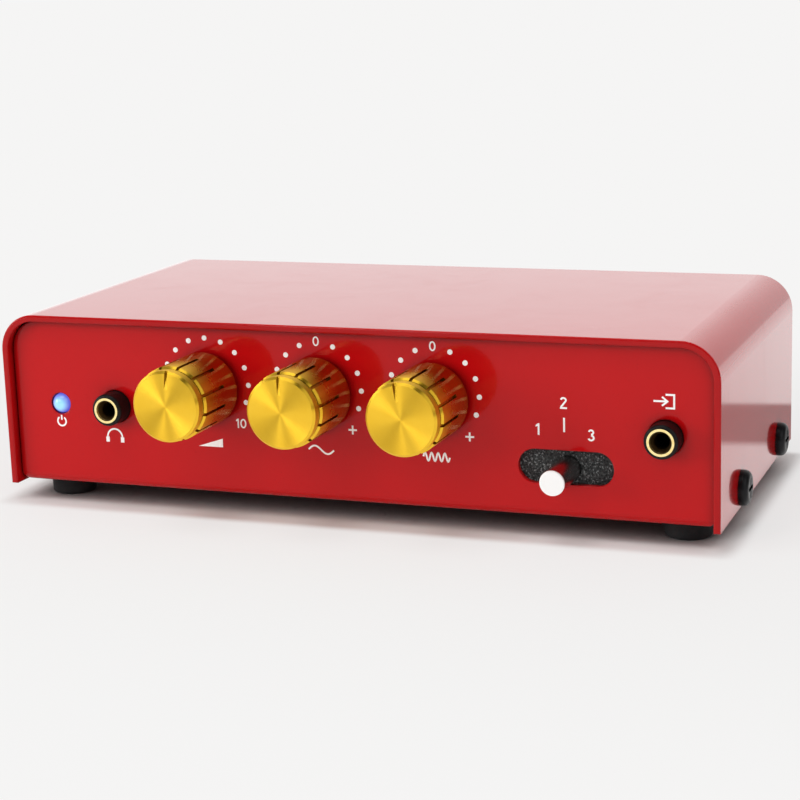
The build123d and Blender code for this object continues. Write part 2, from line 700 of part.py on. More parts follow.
def pot_washer(control):
    x = knob_x(control)
    washer = rod(x, KNOB_Z, PANEL_Y - WASHER_THICK, PANEL_Y, WASHER_D)
    return washer - rod(x, KNOB_Z, PANEL_Y - WASHER_THICK, PANEL_Y, BUSHING_D + 2 * THREAD_GAP)


def pot_nut(control):
    x = knob_x(control)
    back_y = PANEL_Y - WASHER_THICK
    nut = hex_bar(x, KNOB_Z, back_y - NUT_THICK, back_y, NUT_FLATS)
    return nut - rod(x, KNOB_Z, back_y - NUT_THICK, back_y, BUSHING_D + 2 * THREAD_GAP)


def control_pins():
    tail_y = CONTROL_BOARD_BACK_Y + PIN_TAIL
    return [bar(x, z, y, tail_y, PIN_SIDE, PIN_SIDE) for x, z, y in control_pin_places()]


# Jacks and indicator


def jack_blades(x, grow=0.0):
    """Spring contacts of one jack, seated in the body and soldered through the control board."""
    front_y = CONTROL_BOARD_Y - JACK_BLADE_LENGTH - grow
    tail_y = CONTROL_BOARD_BACK_Y + PIN_TAIL
    wide = JACK_BLADE_WIDTH + 2 * grow
    thin = JACK_BLADE_THICK + 2 * grow
    return [
        bar(x, JACK_Z + JACK_BLADE_OFFSET, front_y, tail_y, wide, thin),
        bar(x, JACK_Z - JACK_BLADE_OFFSET, front_y, tail_y, wide, thin),
        bar(x - JACK_BLADE_OFFSET, JACK_Z, front_y, tail_y, thin, wide),
    ]


def jack_body(x):
    """Square body behind the panel with a round barrel through it."""
    barrel = rod(x, JACK_Z, JACK_TIP_Y, JACK_BODY_Y, JACK_BARREL_D)
    barrel = fillet(barrel.edges().group_by(Axis.Y)[0], JACK_BARREL_EDGE_R)
    body = barrel + bar(x, JACK_Z, JACK_BODY_Y, CONTROL_BOARD_Y, JACK_BODY_SIDE, JACK_BODY_SIDE)
    ring_seat_y = JACK_TIP_Y + JACK_RING_LENGTH - JACK_RING_PROUD
    body -= rod(x, JACK_Z, JACK_TIP_Y, ring_seat_y, JACK_RING_D + 2 * SOCKET_GAP)
    body -= rod(x, JACK_Z, ring_seat_y, JACK_TIP_Y + JACK_BORE_DEPTH, JACK_BORE_D)
    for blade in jack_blades(x, SOCKET_GAP):
        body -= blade
    return body


def jack_ring(x):
    """Gilt sleeve contact with a tapered mouth."""
    front_y = JACK_TIP_Y - JACK_RING_PROUD
    back_y = front_y + JACK_RING_LENGTH
    return turned(
        x,
        JACK_Z,
        [
            (JACK_MOUTH_D / 2, front_y),
            (JACK_RING_D / 2, front_y),
            (JACK_RING_D / 2, back_y),
            (JACK_BORE_D / 2, back_y),
            (JACK_BORE_D / 2, front_y + JACK_MOUTH_DEPTH),
        ],
    )


def power_led():
    dome_y = LED_TIP_Y + LED_D / 2
    lens = rod(LED_X, LED_Z, dome_y, LED_BASE_Y, LED_D)
    lens += Pos(LED_X, dome_y, LED_Z) * Sphere(LED_D / 2)
    return lens + rod(LED_X, LED_Z, LED_BASE_Y - LED_FLANGE_THICK, LED_BASE_Y, LED_FLANGE_D)


def led_leads(side=PIN_SIDE):
    tail_y = CONTROL_BOARD_BACK_Y + PIN_TAIL
    return [bar(x, LED_Z, LED_BASE_Y, tail_y, side, side) for x in led_lead_places()]


# Source selector


def selector_switch_case():
    length = SWITCH_CAVITY_LENGTH + 2 * SWITCH_WALL
    height = SWITCH_CAVITY_HEIGHT + 2 * SWITCH_WALL
    case = bar(SELECTOR_X, LEVER_Z, SWITCH_Y, CONTROL_BOARD_Y, length, height)
    case -= bar(
        SELECTOR_X,
        LEVER_Z,
        SWITCH_Y + SWITCH_WALL,
        CONTROL_BOARD_Y - SWITCH_BACK_WALL,
        SWITCH_CAVITY_LENGTH,
        SWITCH_CAVITY_HEIGHT,
    )
    window = LEVER_D + 2 * (LEVER_TRAVEL + PLAY)
    return case - bar(SELECTOR_X, LEVER_Z, SWITCH_Y, SWITCH_Y + SWITCH_WALL, window, WINDOW_HEIGHT)


def selector_slider():
    return bar(SELECTOR_X, LEVER_Z, SLIDER_Y, SLIDER_BACK_Y, SLIDER_LENGTH, SLIDER_HEIGHT)


def selector_lever():
    lever = rod(SELECTOR_X, LEVER_Z, LEVER_TIP_Y, SLIDER_Y, LEVER_D)
    return fillet(lever.edges().group_by(Axis.Y)[0], LEVER_EDGE_R)


def dust_strip():
    """Foam strip that travels with the lever and closes the slot wherever the lever stands."""
    length = SLOT_LENGTH + 2 * (LEVER_TRAVEL + STRIP_OVERLAP)
    height = SLOT_WIDTH + 2 * STRIP_OVERLAP
    strip = obround(SELECTOR_X, SLOT_Z, STRIP_Y, STRIP_BACK_Y, length, height)
    return strip - rod(SELECTOR_X, LEVER_Z, STRIP_Y, STRIP_BACK_Y, LEVER_D + 2 * CORE_GAP)


# Boards


def header_pins(grow=0.0):
    """Angled pins that join the two boards."""
    side = PIN_SIDE + 2 * grow
    pins = []
    for x in spread(HEADER_PIN_COUNT, HEADER_PITCH):
        leg = block(
            (x - side / 2, x + side / 2),
            (HEADER_LEG_Y - side / 2, HEADER_LEG_Y + side / 2),
            (MAIN_BOARD_Z - PIN_TAIL, HEADER_Z + side / 2),
        )
        pins.append(bar(x, HEADER_Z, CONTROL_BOARD_Y - PIN_TAIL, HEADER_LEG_Y, side, side) + leg)
    return pins


def board_header():
    half = HEADER_PIN_COUNT * HEADER_PITCH / 2
    y_span = (HEADER_BACK_Y - HEADER_THICK, HEADER_BACK_Y)
    strip = block((-half, half), y_span, (MAIN_BOARD_TOP_Z, MAIN_BOARD_TOP_Z + HEADER_THICK))
    for pin in header_pins(SOCKET_GAP):
        strip -= pin
    return strip


def control_board():
    left = LED_X - LED_FLANGE_D / 2 - CONTROL_BOARD_MARGIN
    right = LINE_JACK_X + JACK_BODY_SIDE / 2 + CONTROL_BOARD_MARGIN
    low = FLOOR_Z + CONTROL_BOARD_CLEARANCE
    high = WALL_TOP_Z - CONTROL_BOARD_CLEARANCE
    board = block((left, right), (CONTROL_BOARD_Y, CONTROL_BOARD_BACK_Y), (low, high))
    side = PIN_SIDE + 2 * PIN_HOLE_GAP
    through = (CONTROL_BOARD_Y - OVERCUT, CONTROL_BOARD_BACK_Y + OVERCUT)
    holes = [bar(x, z, *through, side, side) for x, z, _ in control_pin_places()]
    holes += [bar(x, LED_Z, *through, side, side) for x in led_lead_places()]
    holes += header_pins(PIN_HOLE_GAP)
    for x in (HEADPHONE_X, LINE_JACK_X):
        holes += jack_blades(x, PIN_HOLE_GAP)
    for hole in holes:
        board -= hole
    return board


def main_board():
    board = block(
        (-MAIN_BOARD_HALF, MAIN_BOARD_HALF),
        (MAIN_BOARD_FRONT_Y, MAIN_BOARD_BACK_Y),
        (MAIN_BOARD_Z, MAIN_BOARD_TOP_Z),
    )
    for pin in header_pins(PIN_HOLE_GAP):
        board -= pin
    clearance = SMALL_SCREW_D + 2 * PANEL_HOLE_GAP
    for x, y in standoff_places():
        board -= pillar(x, y, MAIN_BOARD_Z, MAIN_BOARD_TOP_Z, clearance)
    return board


def standoff(x, y):
    post = pillar(x, y, FLOOR_Z, MAIN_BOARD_Z, STANDOFF_D)
    return post - pillar(x, y, FLOOR_Z, MAIN_BOARD_Z, SMALL_SCREW_D + 2 * THREAD_GAP)


# Parts on the main board


def resistor(x):
    """Axial resistor along Y on two bent leads."""
    y = row_y(RESISTOR_ROW)
    z = MAIN_BOARD_TOP_Z + RESISTOR_D / 2
    body = rod(x, z, y - RESISTOR_LENGTH / 2, y + RESISTOR_LENGTH / 2, RESISTOR_D)
    body += rod(x, z, y - RESISTOR_SPAN / 2, y + RESISTOR_SPAN / 2, RESISTOR_LEAD_D)
    for side in (-1, 1):
        body += pillar(x, y + side * RESISTOR_SPAN / 2, MAIN_BOARD_TOP_Z, z, RESISTOR_LEAD_D)
    return body


def op_amp(x):
    """Dual in-line package on its legs."""
    y = row_y(OP_AMP_ROW)
    low = MAIN_BOARD_TOP_Z + OP_AMP_STANDOFF
    chip = block(
        (x - OP_AMP_LENGTH / 2, x + OP_AMP_LENGTH / 2),
        (y - OP_AMP_WIDTH / 2, y + OP_AMP_WIDTH / 2),
        (low, low + OP_AMP_THICK),
    )
    middle = low + OP_AMP_THICK / 2
    half_span = OP_AMP_LEG_SPAN / 2
    for offset in spread(OP_AMP_SIDE_LEG_COUNT, OP_AMP_LEG_PITCH):
        leg_x = (x + offset - PIN_SIDE / 2, x + offset + PIN_SIDE / 2)
        for side in (-1, 1):
            reach = sorted((y, y + side * half_span))
            foot_y = sorted((y + side * half_span, y + side * (half_span - PIN_SIDE / 2)))
            chip += block(leg_x, reach, (middle - PIN_SIDE / 2, middle))
            chip += block(leg_x, foot_y, (MAIN_BOARD_TOP_Z, middle))
    return chip


def film_capacitor(x):
    y = row_y(FILM_ROW)
    return block(
        (x - FILM_WIDTH / 2, x + FILM_WIDTH / 2),
        (y - FILM_THICK / 2, y + FILM_THICK / 2),
        (MAIN_BOARD_TOP_Z, MAIN_BOARD_TOP_Z + FILM_HEIGHT),
    )


def electrolytic_capacitor(x):
    top = MAIN_BOARD_TOP_Z + ELECTROLYTIC_HEIGHT
    can = pillar(x, row_y(ELECTROLYTIC_ROW), MAIN_BOARD_TOP_Z, top, ELECTROLYTIC_D)
    return fillet(can.edges().group_by(Axis.Z)[-1], ELECTROLYTIC_EDGE_R)


def voltage_regulator():
    """Upright power package: body, holed tab and three legs."""
    x = MAIN_BOARD_HALF - REGULATOR_FROM_EDGE
    y = row_y(FILM_ROW)
    low = MAIN_BOARD_TOP_Z + REGULATOR_LEG_LENGTH
    top = low + REGULATOR_HEIGHT
    across = (x - REGULATOR_WIDTH / 2, x + REGULATOR_WIDTH / 2)
    body = block(across, (y, y + REGULATOR_THICK), (low, top))
    tab = block(across, (y, y + REGULATOR_TAB_THICK), (top, top + REGULATOR_TAB_HEIGHT))
    hole_z = top + REGULATOR_TAB_HEIGHT / 2
    body += tab - rod(x, hole_z, y - OVERCUT, y + REGULATOR_THICK, REGULATOR_TAB_HOLE_D)
    leg_y = y + REGULATOR_THICK / 2
    for offset in spread(3, HEADER_PITCH):
        body += block(
            (x + offset - PIN_SIDE / 2, x + offset + PIN_SIDE / 2),
            (leg_y - PIN_SIDE / 2, leg_y + PIN_SIDE / 2),
            (MAIN_BOARD_TOP_Z, low),
        )
    return body


# Rear sockets, inlet and ground terminal


def socket_housing(x):
    """Moulded housing of one stacked pair: a boss through the panel for each socket, a screw ear."""
    low, high = SOCKET_AXES_Z
    half = SOCKET_HOUSING_WIDTH / 2
    housing = block(
        (x - half, x + half), (SOCKET_FRONT_Y, REAR_INSIDE_Y), (MAIN_BOARD_TOP_Z, high + half)
    )
    for z in (low, high):
        housing += rod(x, z, REAR_INSIDE_Y, SOCKET_BOSS_Y, SOCKET_BOSS_D)
    ear_x = x + SOCKET_EAR_OFFSET
    ear_z = (low + high) / 2
    ear_half = SOCKET_EAR_SIDE / 2
    housing += block(
        (x, ear_x + ear_half),
        (REAR_INSIDE_Y - SOCKET_EAR_DEPTH, REAR_INSIDE_Y),
        (ear_z - ear_half, ear_z + ear_half),
    )
    hole_y = REAR_INSIDE_Y - SMALL_SCREW_LENGTH
    return housing - rod(ear_x, ear_z, hole_y, REAR_INSIDE_Y, SMALL_SCREW_D + 2 * THREAD_GAP)


def socket_shell(x, z):
    shell = rod(x, z, SOCKET_BOSS_Y, SOCKET_END_Y, SOCKET_SHELL_D)
    shell = chamfer(shell.edges().group_by(Axis.Y)[-1], SOCKET_RIM_CHAMFER)
    return shell - rod(x, z, SOCKET_BOSS_Y, SOCKET_END_Y, SOCKET_SHELL_D - 2 * SOCKET_SHELL_WALL)


def socket_insulator(x, z):
    outer_d = SOCKET_SHELL_D - 2 * (SOCKET_SHELL_WALL + SOCKET_GAP)
    core = rod(x, z, SOCKET_BOSS_Y, SOCKET_CORE_END_Y, outer_d)
    core -= rod(x, z, SOCKET_BOSS_Y, SOCKET_CONTACT_END_Y, SOCKET_CONTACT_D + 2 * SOCKET_GAP)
    return core - rod(x, z, SOCKET_CONTACT_END_Y, SOCKET_CORE_END_Y, SOCKET_CONTACT_BORE_D)


def socket_contact(x, z):
    tube = rod(x, z, SOCKET_BOSS_Y, SOCKET_CONTACT_END_Y, SOCKET_CONTACT_D)
    return tube - rod(x, z, SOCKET_BOSS_Y, SOCKET_CONTACT_END_Y, SOCKET_CONTACT_BORE_D)


def inlet_block(y0, y1, grow=0.0):
    z = (MAIN_BOARD_TOP_Z - grow / 2, MAIN_BOARD_TOP_Z + INLET_HEIGHT + grow / 2)
    half = (INLET_WIDTH + grow) / 2
    return block((INLET_X - half, INLET_X + half), (y0, y1), z)


def dc_inlet():
    body = inlet_block(INLET_END_Y - INLET_DEPTH, INLET_END_Y)
    bore_y = INLET_END_Y - INLET_BORE_DEPTH
    body -= rod(INLET_X, INLET_Z, bore_y, INLET_END_Y, INLET_BORE_D)
    root_d = INLET_PIN_ROOT_D + 2 * SOCKET_GAP
    return body - rod(INLET_X, INLET_Z, INLET_END_Y - INLET_DEPTH, bore_y, root_d)


def dc_inlet_pin():
    """Centre pin on a thicker root that fills the body's back."""
    bore_y = INLET_END_Y - INLET_BORE_DEPTH
    pin = rod(INLET_X, INLET_Z, bore_y, INLET_END_Y - INLET_PIN_RECESS, INLET_PIN_D)
    pin = fillet(pin.edges().group_by(Axis.Y)[-1], INLET_PIN_TIP_R)
    return pin + rod(INLET_X, INLET_Z, INLET_END_Y - INLET_DEPTH, bore_y, INLET_PIN_ROOT_D)


def ground_post():
    """Threaded post with a collar outside the panel and a hexagonal head inside it."""
    post = rod(GROUND_X, GROUND_Z, REAR_INSIDE_Y - GROUND_POST_INSIDE, GROUND_POST_END_Y, GROUND_POST_D)
    post += rod(GROUND_X, GROUND_Z, REAR_Y, REAR_Y + GROUND_COLLAR_THICK, GROUND_COLLAR_D)
    head_y = REAR_INSIDE_Y - GROUND_HEAD_THICK
    return post + hex_bar(GROUND_X, GROUND_Z, head_y, REAR_INSIDE_Y, GROUND_HEAD_FLATS)


def ground_bore(y0, y1):
    return rod(GROUND_X, GROUND_Z, y0, y1, GROUND_POST_D + 2 * GROUND_THREAD_GAP)


def ground_washer():
    washer = rod(GROUND_X, GROUND_Z, GROUND_WASHER_Y, GROUND_NUT_Y, GROUND_WASHER_D)
    return washer - ground_bore(GROUND_WASHER_Y, GROUND_NUT_Y)


def ground_nut():
    """Thumb nut with a knurled edge."""
    end_y = GROUND_NUT_Y + GROUND_NUT_THICK
    nut = rod(0, 0, GROUND_NUT_Y, end_y, GROUND_NUT_D)
    nut = chamfer(nut.edges().filter_by(GeomType.CIRCLE), GROUND_NUT_CHAMFER)
    groove = rod(0, 0, GROUND_NUT_Y - OVERCUT, end_y + OVERCUT, KNURL_D)
    groove = Pos(0, 0, GROUND_NUT_D / 2) * groove
    for i in range(KNURL_COUNT):
        nut -= Rot(0, i * 360 / KNURL_COUNT, 0) * groove
    return Pos(GROUND_X, 0, GROUND_Z) * nut - ground_bore(GROUND_NUT_Y, end_y)


def main():
    os.makedirs("parts", exist_ok=True)

    keep("chassis_tray", chassis_tray())
    keep("top_cover", top_cover())
    keep("cover_screws", *cover_screws())
    keep("small_screws", *small_screws())
    for name, place in foot_places().items():
        keep(name, foot(*place))

    for control in CONTROLS:
        keep(f"{control}_knob", knob(control))
        keep(f"{control}_knob_core", knob_core(control))
        keep(f"{control}_pot_shaft", pot_shaft(control))
        keep(f"{control}_pot_bushing", pot_bushing(control))
        keep(f"{control}_pot_case", pot_case(control))
    keep("pot_elements", *[pot_element(control) for control in CONTROLS])
    keep("pot_washers", *[pot_washer(control) for control in CONTROLS])
    keep("pot_nuts", *[pot_nut(control) for control in CONTROLS])
    keep("control_pins", *control_pins())

    for name, x in (("headphone_jack", HEADPHONE_X), ("line_in_jack", LINE_JACK_X)):
        keep(f"{name}_body", jack_body(x))
        keep(f"{name}_ring", jack_ring(x))
    keep("jack_contacts", *jack_blades(HEADPHONE_X), *jack_blades(LINE_JACK_X))
    keep("power_led", power_led())
    keep("led_leads", *led_leads())

    keep("selector_switch_case", selector_switch_case())
    keep("selector_slider", selector_slider())
    keep("selector_lever", selector_lever())
    keep("dust_strip", dust_strip())

    keep("control_board", control_board())
    keep("main_board", main_board())
    keep("board_header", board_header())
    keep("header_pins", *header_pins())
    keep("board_standoffs", *[standoff(x, y) for x, y in standoff_places()])
    keep("resistors", *[resistor(x) for x in spread(RESISTOR_COUNT, RESISTOR_PITCH)])
    keep("op_amps", *[op_amp(x) for x in spread(OP_AMP_COUNT, OP_AMP_PITCH)])
    keep("film_capacitors", *[film_capacitor(x) for x in spread(FILM_COUNT, FILM_PITCH)])
    cans = [electrolytic_capacitor(x) for x in spread(ELECTROLYTIC_COUNT, ELECTROLYTIC_PITCH)]
    keep("electrolytic_capacitors", *cans)
    keep("voltage_regulator", voltage_regulator())

    for name, x in SOCKET_PLACES.items():
        keep(f"{name}_socket_housing", socket_housing(x))
    axes = socket_axes()
    upper = axes[: len(SOCKET_PLACES)]
    lower = axes[len(SOCKET_PLACES) :]
    keep("socket_shells", *[socket_shell(x, z) for x, z in axes])
    keep("white_insulators", *[socket_insulator(x, z) for x, z in upper])
    keep("red_insulators", *[socket_insulator(x, z) for x, z in lower])
    keep("socket_contacts", *[socket_contact(x, z) for x, z in axes])
    keep("dc_inlet", dc_inlet())
    keep("dc_inlet_pin", dc_inlet_pin())
    keep("ground_post", ground_post())
    keep("ground_washer", ground_washer())
    keep("ground_nut", ground_nut())


main()
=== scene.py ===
import math

import bmesh
import bpy
from mathutils import Matrix, Vector, noise


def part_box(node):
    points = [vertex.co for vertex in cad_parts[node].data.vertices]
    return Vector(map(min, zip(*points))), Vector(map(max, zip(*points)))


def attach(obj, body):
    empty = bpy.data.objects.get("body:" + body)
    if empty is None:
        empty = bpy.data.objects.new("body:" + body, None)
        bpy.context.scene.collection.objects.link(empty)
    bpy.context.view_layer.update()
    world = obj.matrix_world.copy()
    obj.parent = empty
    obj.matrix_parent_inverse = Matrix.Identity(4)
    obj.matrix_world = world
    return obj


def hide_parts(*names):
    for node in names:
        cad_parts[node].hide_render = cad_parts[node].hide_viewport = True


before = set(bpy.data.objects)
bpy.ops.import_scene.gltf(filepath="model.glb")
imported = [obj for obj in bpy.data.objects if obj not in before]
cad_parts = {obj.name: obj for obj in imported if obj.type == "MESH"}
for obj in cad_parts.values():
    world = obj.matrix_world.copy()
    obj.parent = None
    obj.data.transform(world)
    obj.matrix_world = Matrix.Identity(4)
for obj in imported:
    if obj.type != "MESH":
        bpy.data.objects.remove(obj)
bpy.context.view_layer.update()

MM = 0.001

# The case and what stands on its front panel, in millimetres: X across, Y back, Z up. The
# cover's front edge is at CASE_FRONT_Y, and the panel's face behind it at PANEL_Y.
CASE_WIDTH, CASE_DEPTH = 177.8, 88.9
CASE_FRONT_Y = -38.4
CASE_MIDDLE_Y = CASE_FRONT_Y + CASE_DEPTH / 2
PANEL_Y = -35.9
KNOB_FACE_Y = -57.5
KNOB_X = {"volume": -34.80, "bass": -6.15, "treble": 22.50}
JACK_TIP_Y = -40.95
LEVER_TIP_Y = -47.1
LED_X, LED_Z = -74.75, 25.0

# Where a finish, its painted shade or its painted highlight changes, in millimetres: in from an
# edge, back from a face, out from the indicator's middle, up, and along. The two scales are in
# features a metre.
SHEET_EDGE, SHEET_EDGE_SHADE = (0.15, 0.05), 0.78
KNOB_PAINTED_SHADE, KNOB_FINER = (3.5, 13.0), (2.0, 11.0)
JACK_DARKER_INSIDE = (0.10, 0.55)
LEVER_END_SATIN_AND_HIGHLIGHT = (0.35, 0.10)
LED_CORE = (2.5, 0.9)
CAN_TOP_Z = (25.6, 25.8)
RESISTOR_BAND_PITCH = 1.3
KNOB_MARKS_SCALE, BOARD_TRACKS_SCALE = 9000.0, 220.0
EDGE_AND_CREVICE_SAMPLES = 6

# The dials round the knobs, in millimetres and degrees clockwise from the top.
DIAL_Z = 31.92
DIAL_DOT_R, DIAL_DOT_D = 10.95, 1.25
DIAL_STEP, DIAL_STEPS_EACH_SIDE = 22.5, 5
DIAL_NUMERAL_R, DIAL_NUMERAL_SIZE = 11.3, 2.3
DIAL_END_R, DIAL_END_ANGLE = 12.6, 138.0
DIAL_SIGN = 2.1

# Ink: how far it stands out of the panel and sinks into it. The shapes of a piece take turns at
# INK_STEPS heights, a step apart, so that two that cross don't share a plane.
INK_THICKNESS, INK_SINK = 0.03, 0.01
INK_STEP, INK_STEPS = 0.003, 3
INK_LINE = 0.42

# Symbols: where they are on the panel, and their points from there.
POWER_SYMBOL = (-74.85, 20.5)
POWER_ARC_R, POWER_ARC = 1.15, (35, 325)
POWER_BAR = [(0.0, 0.3), (0.0, 1.55)]
HEADPHONE_SYMBOL = (-60.32, 17.53)
HEADBAND_R, HEADBAND_ARC = 2.0, (-90, 90)
EARPIECE_Z, EARPIECE_LINE = (-0.2, -1.5), 2.2 * INK_LINE
SYMBOL_ROW_Z = 17.33
SYMBOL_SHIFT = 0.3
WEDGE = [(-3.2, -0.9), (3.2, -0.9), (3.2, 1.2)]
WAVE_LENGTH, WAVE_HEIGHT = 6.4, 1.9
WAVE_POINTS = 16
SLOW_WAVES, FAST_WAVES = 1, 4
INPUT_SYMBOL = (75.92, 33.12)
INPUT_SHAFT = [(-2.4, 0.0), (0.5, 0.0)]
INPUT_HEAD = [(-0.5, 1.0), (0.7, 0.0), (-0.5, -1.0)]
INPUT_BRACKET = [(0.3, 1.5), (2.2, 1.5), (2.2, -1.5), (0.3, -1.5)]
SELECTOR_TICK_X, SELECTOR_TICK_Z = 53.19, (24.93, 28.22)
SELECTOR_NUMERALS = {"1": (47.13, 25.32), "2": (53.10, 31.59), "3": (59.37, 24.53)}
SELECTOR_NUMERAL_SIZE = 2.7

# Numbers: lines, places and radii as shares of a number's height, squeeze as width over height.
NUMERAL_LINE, NUMERAL_PITCH = 0.15, 0.62
ZERO_SQUEEZE = 0.62
ONE_STEM, ONE_FLAG, ONE_FLAG_Z = 0.12, 0.20, 0.34
TWO_BOWL_Z, TWO_BOWL_R, TWO_BOWL_ARC, TWO_SQUEEZE = 0.24, 0.26, (-80, 115), 1.15
TWO_HEEL, TWO_FOOT = 0.22, 0.30
THREE_TOP_Z, THREE_TOP_R, THREE_TOP_ARC = 0.25, 0.25, (-75, 180)
THREE_LOW_Z, THREE_LOW_R, THREE_LOW_ARC = -0.22, 0.28, (0, 255)
THREE_SQUEEZE = 1.1
BOWL_POINTS, ZERO_POINTS = 16, 32

# The foam strip behind the selector's slot, in millimetres.
FOAM_X, FOAM_Z = 53.45, 16.75
FOAM_LENGTH, FOAM_HEIGHT = 34.5, 9.2
FOAM_FRONT_Y, FOAM_BACK_Y = -34.0, -32.5
FOAM_EDGE = 0.12
FOAM_HOLE_R, FOAM_HOLE_Z = 2.93, 16.05
FOAM_HOLE_ROOM = 0.02
FOAM_HOLE_POINTS = 40
FOAM_VOXEL = 0.2
FOAM_CELLS_PER_M, FOAM_CELL_SLOPE = 1400.0, 1.6
FOAM_STRUTS_PER_M, FOAM_STRUT_SHARE = 3000.0, 0.35
FOAM_DEEPEST, FOAM_HIGHEST, FOAM_RELIEF = -0.9, 0.8, 0.8

# The camera, fitted to the photograph: metres and degrees.
CAMERA_LENS, CAMERA_SENSOR = 89.61, 36.0
CAMERA_PLACE = (0.17381, -0.45109, 0.13136)
CAMERA_AZIMUTH, CAMERA_ELEVATION, CAMERA_ROLL = 21.02, 12.80, -1.85
CAMERA_NEAR = 0.01

# Lamps: place, target, size and radiance.
LAMPS = {
    "overhead": ((-0.10, -0.30, 0.90), (0.0, 0.0, 0.0), (0.60, 0.40), 2.7),
    "key": ((-0.86, -0.58, 0.27), (0.0, 0.0, 0.02), (0.42, 0.42), 6.9),
    "front": ((-0.42, -1.00, 0.50), (0.0, 0.0, 0.02), (0.20, 0.45), 5.4),
    "fill": ((0.76, -0.33, 0.52), (0.03, 0.0, 0.02), (0.80, 0.80), 1.1),
}

# The sky grows from dim to bright as a ray turns towards its bright side, between the two
# cosines of the range: once for reflections, once for diffuse light.
SKY_BRIGHT_SIDE, SKY_RANGE = (-0.55, 0.85, 0.15), (0.20, 0.92)
SKY_DIM, SKY_BRIGHT = 0.08, 1.12
AMBIENT_SIDE, AMBIENT_RANGE = (-0.6, -0.35, 0.75), (-0.9, 0.9)
AMBIENT_DIM, AMBIENT_BRIGHT = 0.12, 0.60
BACKDROP, BACKDROP_MIRRORED = 0.915, 1.15

# The floor, in metres. The backdrop's share of it rises in two steps with the distance from
# the case: to FLOOR_NEAR_GLOW over FLOOR_NEAR, and to 1 over FLOOR_FAR.
FLOOR_RADIUS, FLOOR_CORNERS = 6.0, 96
FLOOR_COLOUR, FLOOR_SHADE = (0.84, 0.84, 0.83), 0.985
# The painted shadow under the case: its reach, the occlusion at which it is darkest and at which
# it ends, and its darkest share.
FLOOR_PAINTED_SHADOW = (0.015, 0.08, 0.42, 0.05)
FLOOR_NEAR, FLOOR_NEAR_GLOW = 0.005, 0.72
FLOOR_FAR = (0.02, 0.18)
FLOOR_GLOW_COLOUR = (1.0, 0.995, 0.99)
# A dark hem of the cloth behind the case, seen only in reflections: where it starts and ends,
# in metres back, more on the right by the skew.
HEM_SKEW = 0.20
HEM_START, HEM_END = (0.077, 0.084), (0.126, 0.131)
HEM_DEPTH = 0.90


# ---------------------------------------------------------------- materials

